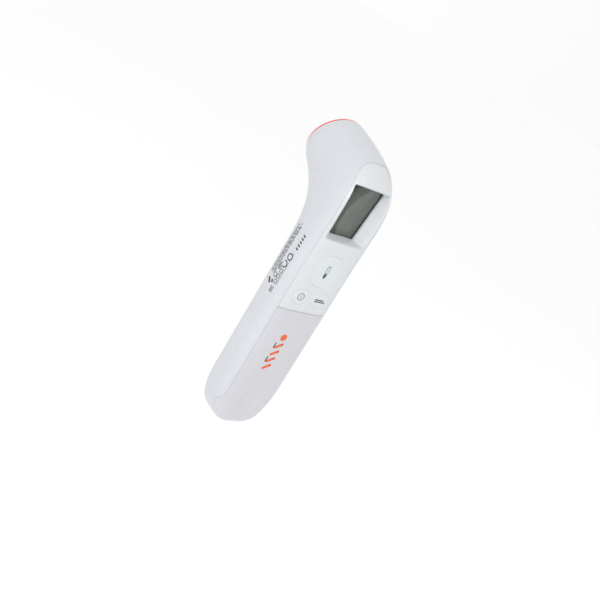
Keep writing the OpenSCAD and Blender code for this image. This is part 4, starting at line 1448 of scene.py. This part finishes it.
def side_label():
    """A block of plain lines with simple signs, reading up the handle."""
    f = Flat()
    random = np.random.default_rng(7)
    for row, y in enumerate((4.2, 3.5, 2.8, 2.1, 1.4)):
        z, end = 81.0 + row % 2, 107.4 - row % 3
        while z < end:
            length = float(random.uniform(0.9, 2.8))
            f.bar((y, z), (y, min(z + length, end + 0.6)), 0.4)
            z += length + 0.45
    for z in (97.4, 99.1, 100.8, 102.5, 104.2):
        f.bar((-4.2, z), (-2.7, z + 0.5), 0.85)
    f.ring((-2.4, 92.6), 1.5, 0.6)
    f.ring((-1.6, 88.4), 1.5, 0.6, 60, 240)
    f.bar((-3.6, 78.0), (-3.6, 95.0), 0.22)
    for z in (78.2, 81.0, 83.8):
        f.bar((-2.9, z), (-2.9, z + 1.8), 0.34)
        f.bar((-1.3, z), (-1.3, z + 1.8), 0.34)
        f.bar((-3.05, z), (-1.15, z), 0.34)
        f.bar((-3.05, z + 1.8), (-1.15, z + 1.8), 0.34)
    f.ring((0.2, 81.4), 1.1, 0.4)
    f.bar((0.9, 76.4), (2.8, 78.6), 1.3)
    f.bar((-0.6, 77.4), (0.4, 78.8), 1.0)
    for y, z0, z1 in ((-2.9, 73.4, 76.8), (-2.2, 73.4, 76.0), (-1.5, 73.4, 76.4),
                      (0.1, 84.6, 88.6), (0.7, 84.6, 87.8), (-0.5, 84.6, 86.4)):
        f.bar((y, z0), (y, z1), 0.4)
    return f


class THERMOMETER_OT_marks(bpy.types.Operator):
    """Key symbols, the mark on the cover and the side label, printed on their surfaces"""

    bl_idname = "thermometer.marks"
    bl_label = "Printed marks"

    def execute(self, context):
        tree = laid_tree()
        lift = context.scene.thermometer_sizes.mark_lift

        def before_front(u, w):
            return (u, -40.0, w)

        def before_side(u, w):
            return (-40.0, u, w)

        marks = (
            ("scan_symbol", scan_symbol(), "scan_key_cap", "scan_key", "ink_dark", before_front),
            ("power_symbol", power_symbol(), "power_key_cap", "power_key", "ink_dark", before_front),
            ("memory_symbol", memory_symbol(), "memory_key_cap", "memory_key", "ink_dark", before_front),
            ("cover_mark", cover_mark(), "battery_cover_face", "battery_cover", "ink_orange",
             before_front),
            ("cover_dashes", cover_dashes(), "battery_cover_face", "battery_cover", "ink_dark",
             before_front),
            ("side_label", side_label(), "main_shell_body", "housing", "ink_dark", before_side),
        )
        for name, flat, target, body, ink, to_place in marks:
            direction = (0, 1, 0) if to_place is before_front else (1, 0, 0)
            mesh = grown(name, flat.mesh(name + "_flat", to_place), tree, {
                "Surface": bpy.data.objects[target], "Direction": direction,
                "Lift": lift * 0.5, "Material": finishes()[ink]}, lift * 0.5)
            mesh.shade_smooth()
            mesh.set_sharp_from_angle(angle=math.radians(40))
            finish_piece(mesh, name, body, None, [])
        return {"FINISHED"}


# ---- Stage ----

FLOOR_REACH = 40.0
DIM_SIDE = (0.7, -0.7, -0.15)
WORLD_BRIGHTEST, WORLD_DIMMEST = 1.12, 0.88
LARGE_LIGHT_PLACE, LARGE_LIGHT_SIZE = (-0.52, -0.55, 0.3), 0.3
SIDE_LIGHT_PLACE, SIDE_LIGHT_SIZE = (0.7, -0.3, 0.3), 0.5
CAMERA_TARGET = (0.0211, 0.0030, 0.0635)
CAMERA_BACK = (-0.6837, -0.6541, 0.3236)
CAMERA_RIGHT = (0.7119, -0.5006, 0.4925)
CAMERA_DISTANCE = 0.430


class THERMOMETER_OT_stage(bpy.types.Operator):
    """Floor, surroundings, soft lights and the camera"""

    bl_idname = "thermometer.stage"
    bl_label = "Stage"

    def execute(self, context):
        stage = context.scene.thermometer_stage
        bm = bmesh.new()
        bmesh.ops.create_grid(bm, x_segments=2, y_segments=2, size=FLOOR_REACH,
                              matrix=Matrix.Translation((0, 0, -stage.floor_drop)))
        mesh = bpy.data.meshes.new("floor")
        bm.to_mesh(mesh)
        bm.free()
        f = Finish("floor_pale")
        f.set(Base_Color=f.ramp(f.noise(6, 2), (0.3, (0.975, 0.975, 0.975)), (0.7, (0.98, 0.98, 0.98))))
        f.shader.inputs["Roughness"].default_value = 0.9
        f.shader.inputs["Specular IOR Level"].default_value = 0.1
        mesh.materials.append(f.material)
        floor = bpy.data.objects.new("floor", mesh)
        context.scene.collection.objects.link(floor)
        floor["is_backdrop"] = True

        world = bpy.data.worlds.new("studio")
        context.scene.world = world
        context.scene.view_settings.view_transform = "Standard"
        world.use_nodes = True
        nodes, links = world.node_tree.nodes, world.node_tree.links
        facing = nodes.new("ShaderNodeVectorMath")
        facing.operation = "DOT_PRODUCT"
        facing.inputs[1].default_value = DIM_SIDE
        links.new(nodes.new("ShaderNodeTexCoord").outputs["Generated"], facing.inputs[0])
        level = nodes.new("ShaderNodeMapRange")
        level.inputs["From Min"].default_value = -1.0
        level.inputs["To Min"].default_value = stage.world_level * WORLD_BRIGHTEST
        level.inputs["To Max"].default_value = stage.world_level * WORLD_DIMMEST
        links.new(facing.outputs["Value"], level.inputs["Value"])
        background = nodes["Background"]
        background.inputs["Color"].default_value = (1, 1, 1, 1)
        links.new(level.outputs["Result"], background.inputs["Strength"])

        low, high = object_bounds()
        middle = (low + high) / 2
        for name, offset, size, power in (
                ("large_light", LARGE_LIGHT_PLACE, LARGE_LIGHT_SIZE, stage.key_power),
                ("side_light", SIDE_LIGHT_PLACE, SIDE_LIGHT_SIZE, stage.fill_power)):
            data = bpy.data.lights.new(name, "AREA")
            data.size, data.energy = size, power
            lamp = bpy.data.objects.new(name, data)
            lamp.location = middle + Vector(offset)
            lamp.rotation_euler = (-Vector(offset)).to_track_quat("-Z", "Y").to_euler()
            context.scene.collection.objects.link(lamp)

        data = bpy.data.cameras.new("camera")
        data.lens, data.sensor_width = stage.lens, 36
        data.clip_start, data.clip_end = 0.01, 100
        camera = bpy.data.objects.new("camera", data)
        target = Vector(CAMERA_TARGET)
        back = Vector(CAMERA_BACK).normalized()
        right = Vector(CAMERA_RIGHT)
        right = (right - back * right.dot(back)).normalized()
        turn = Matrix((right, back.cross(right), back)).transposed().to_4x4()
        camera.matrix_world = Matrix.Translation(target + back * CAMERA_DISTANCE) @ turn
        context.scene.collection.objects.link(camera)
        context.scene.camera = camera
        return {"FINISHED"}


class THERMOMETER_PT_panel(bpy.types.Panel):
    """Sidebar panel with the settings and the pieces"""

    bl_idname = "THERMOMETER_PT_panel"
    bl_label = "Thermometer"
    bl_space_type = "VIEW_3D"
    bl_region_type = "UI"
    bl_category = "Thermometer"

    def draw(self, context):
        for group in SETTINGS:
            box = self.layout.box()
            settings = getattr(context.scene, group)
            for name in settings.__annotations__:
                box.prop(settings, name)
        for operator in OPERATORS:
            self.layout.operator(operator.bl_idname)


OPERATORS = (
    THERMOMETER_OT_shell, THERMOMETER_OT_panel, THERMOMETER_OT_cover, THERMOMETER_OT_keys,
    THERMOMETER_OT_probe, THERMOMETER_OT_display, THERMOMETER_OT_cells, THERMOMETER_OT_contacts,
    THERMOMETER_OT_screws, THERMOMETER_OT_electronics, THERMOMETER_OT_marks, THERMOMETER_OT_stage,
)
SETTINGS = {
    "thermometer_sizes": ThermometerSizes,
    "thermometer_colours": ThermometerColours,
    "thermometer_stage": ThermometerStage,
}


def register():
    for kind in (*SETTINGS.values(), *OPERATORS, THERMOMETER_PT_panel):
        bpy.utils.register_class(kind)
    for name, kind in SETTINGS.items():
        setattr(bpy.types.Scene, name, PointerProperty(type=kind))


def unregister():
    for name in SETTINGS:
        delattr(bpy.types.Scene, name)
    for kind in (THERMOMETER_PT_panel, *reversed(OPERATORS), *reversed(SETTINGS.values())):
        bpy.utils.unregister_class(kind)


def main():
    register()
    for operator in OPERATORS:
        group, name = operator.bl_idname.split(".")
        getattr(getattr(bpy.ops, group), name)()


if __name__ == "__main__":
    main()
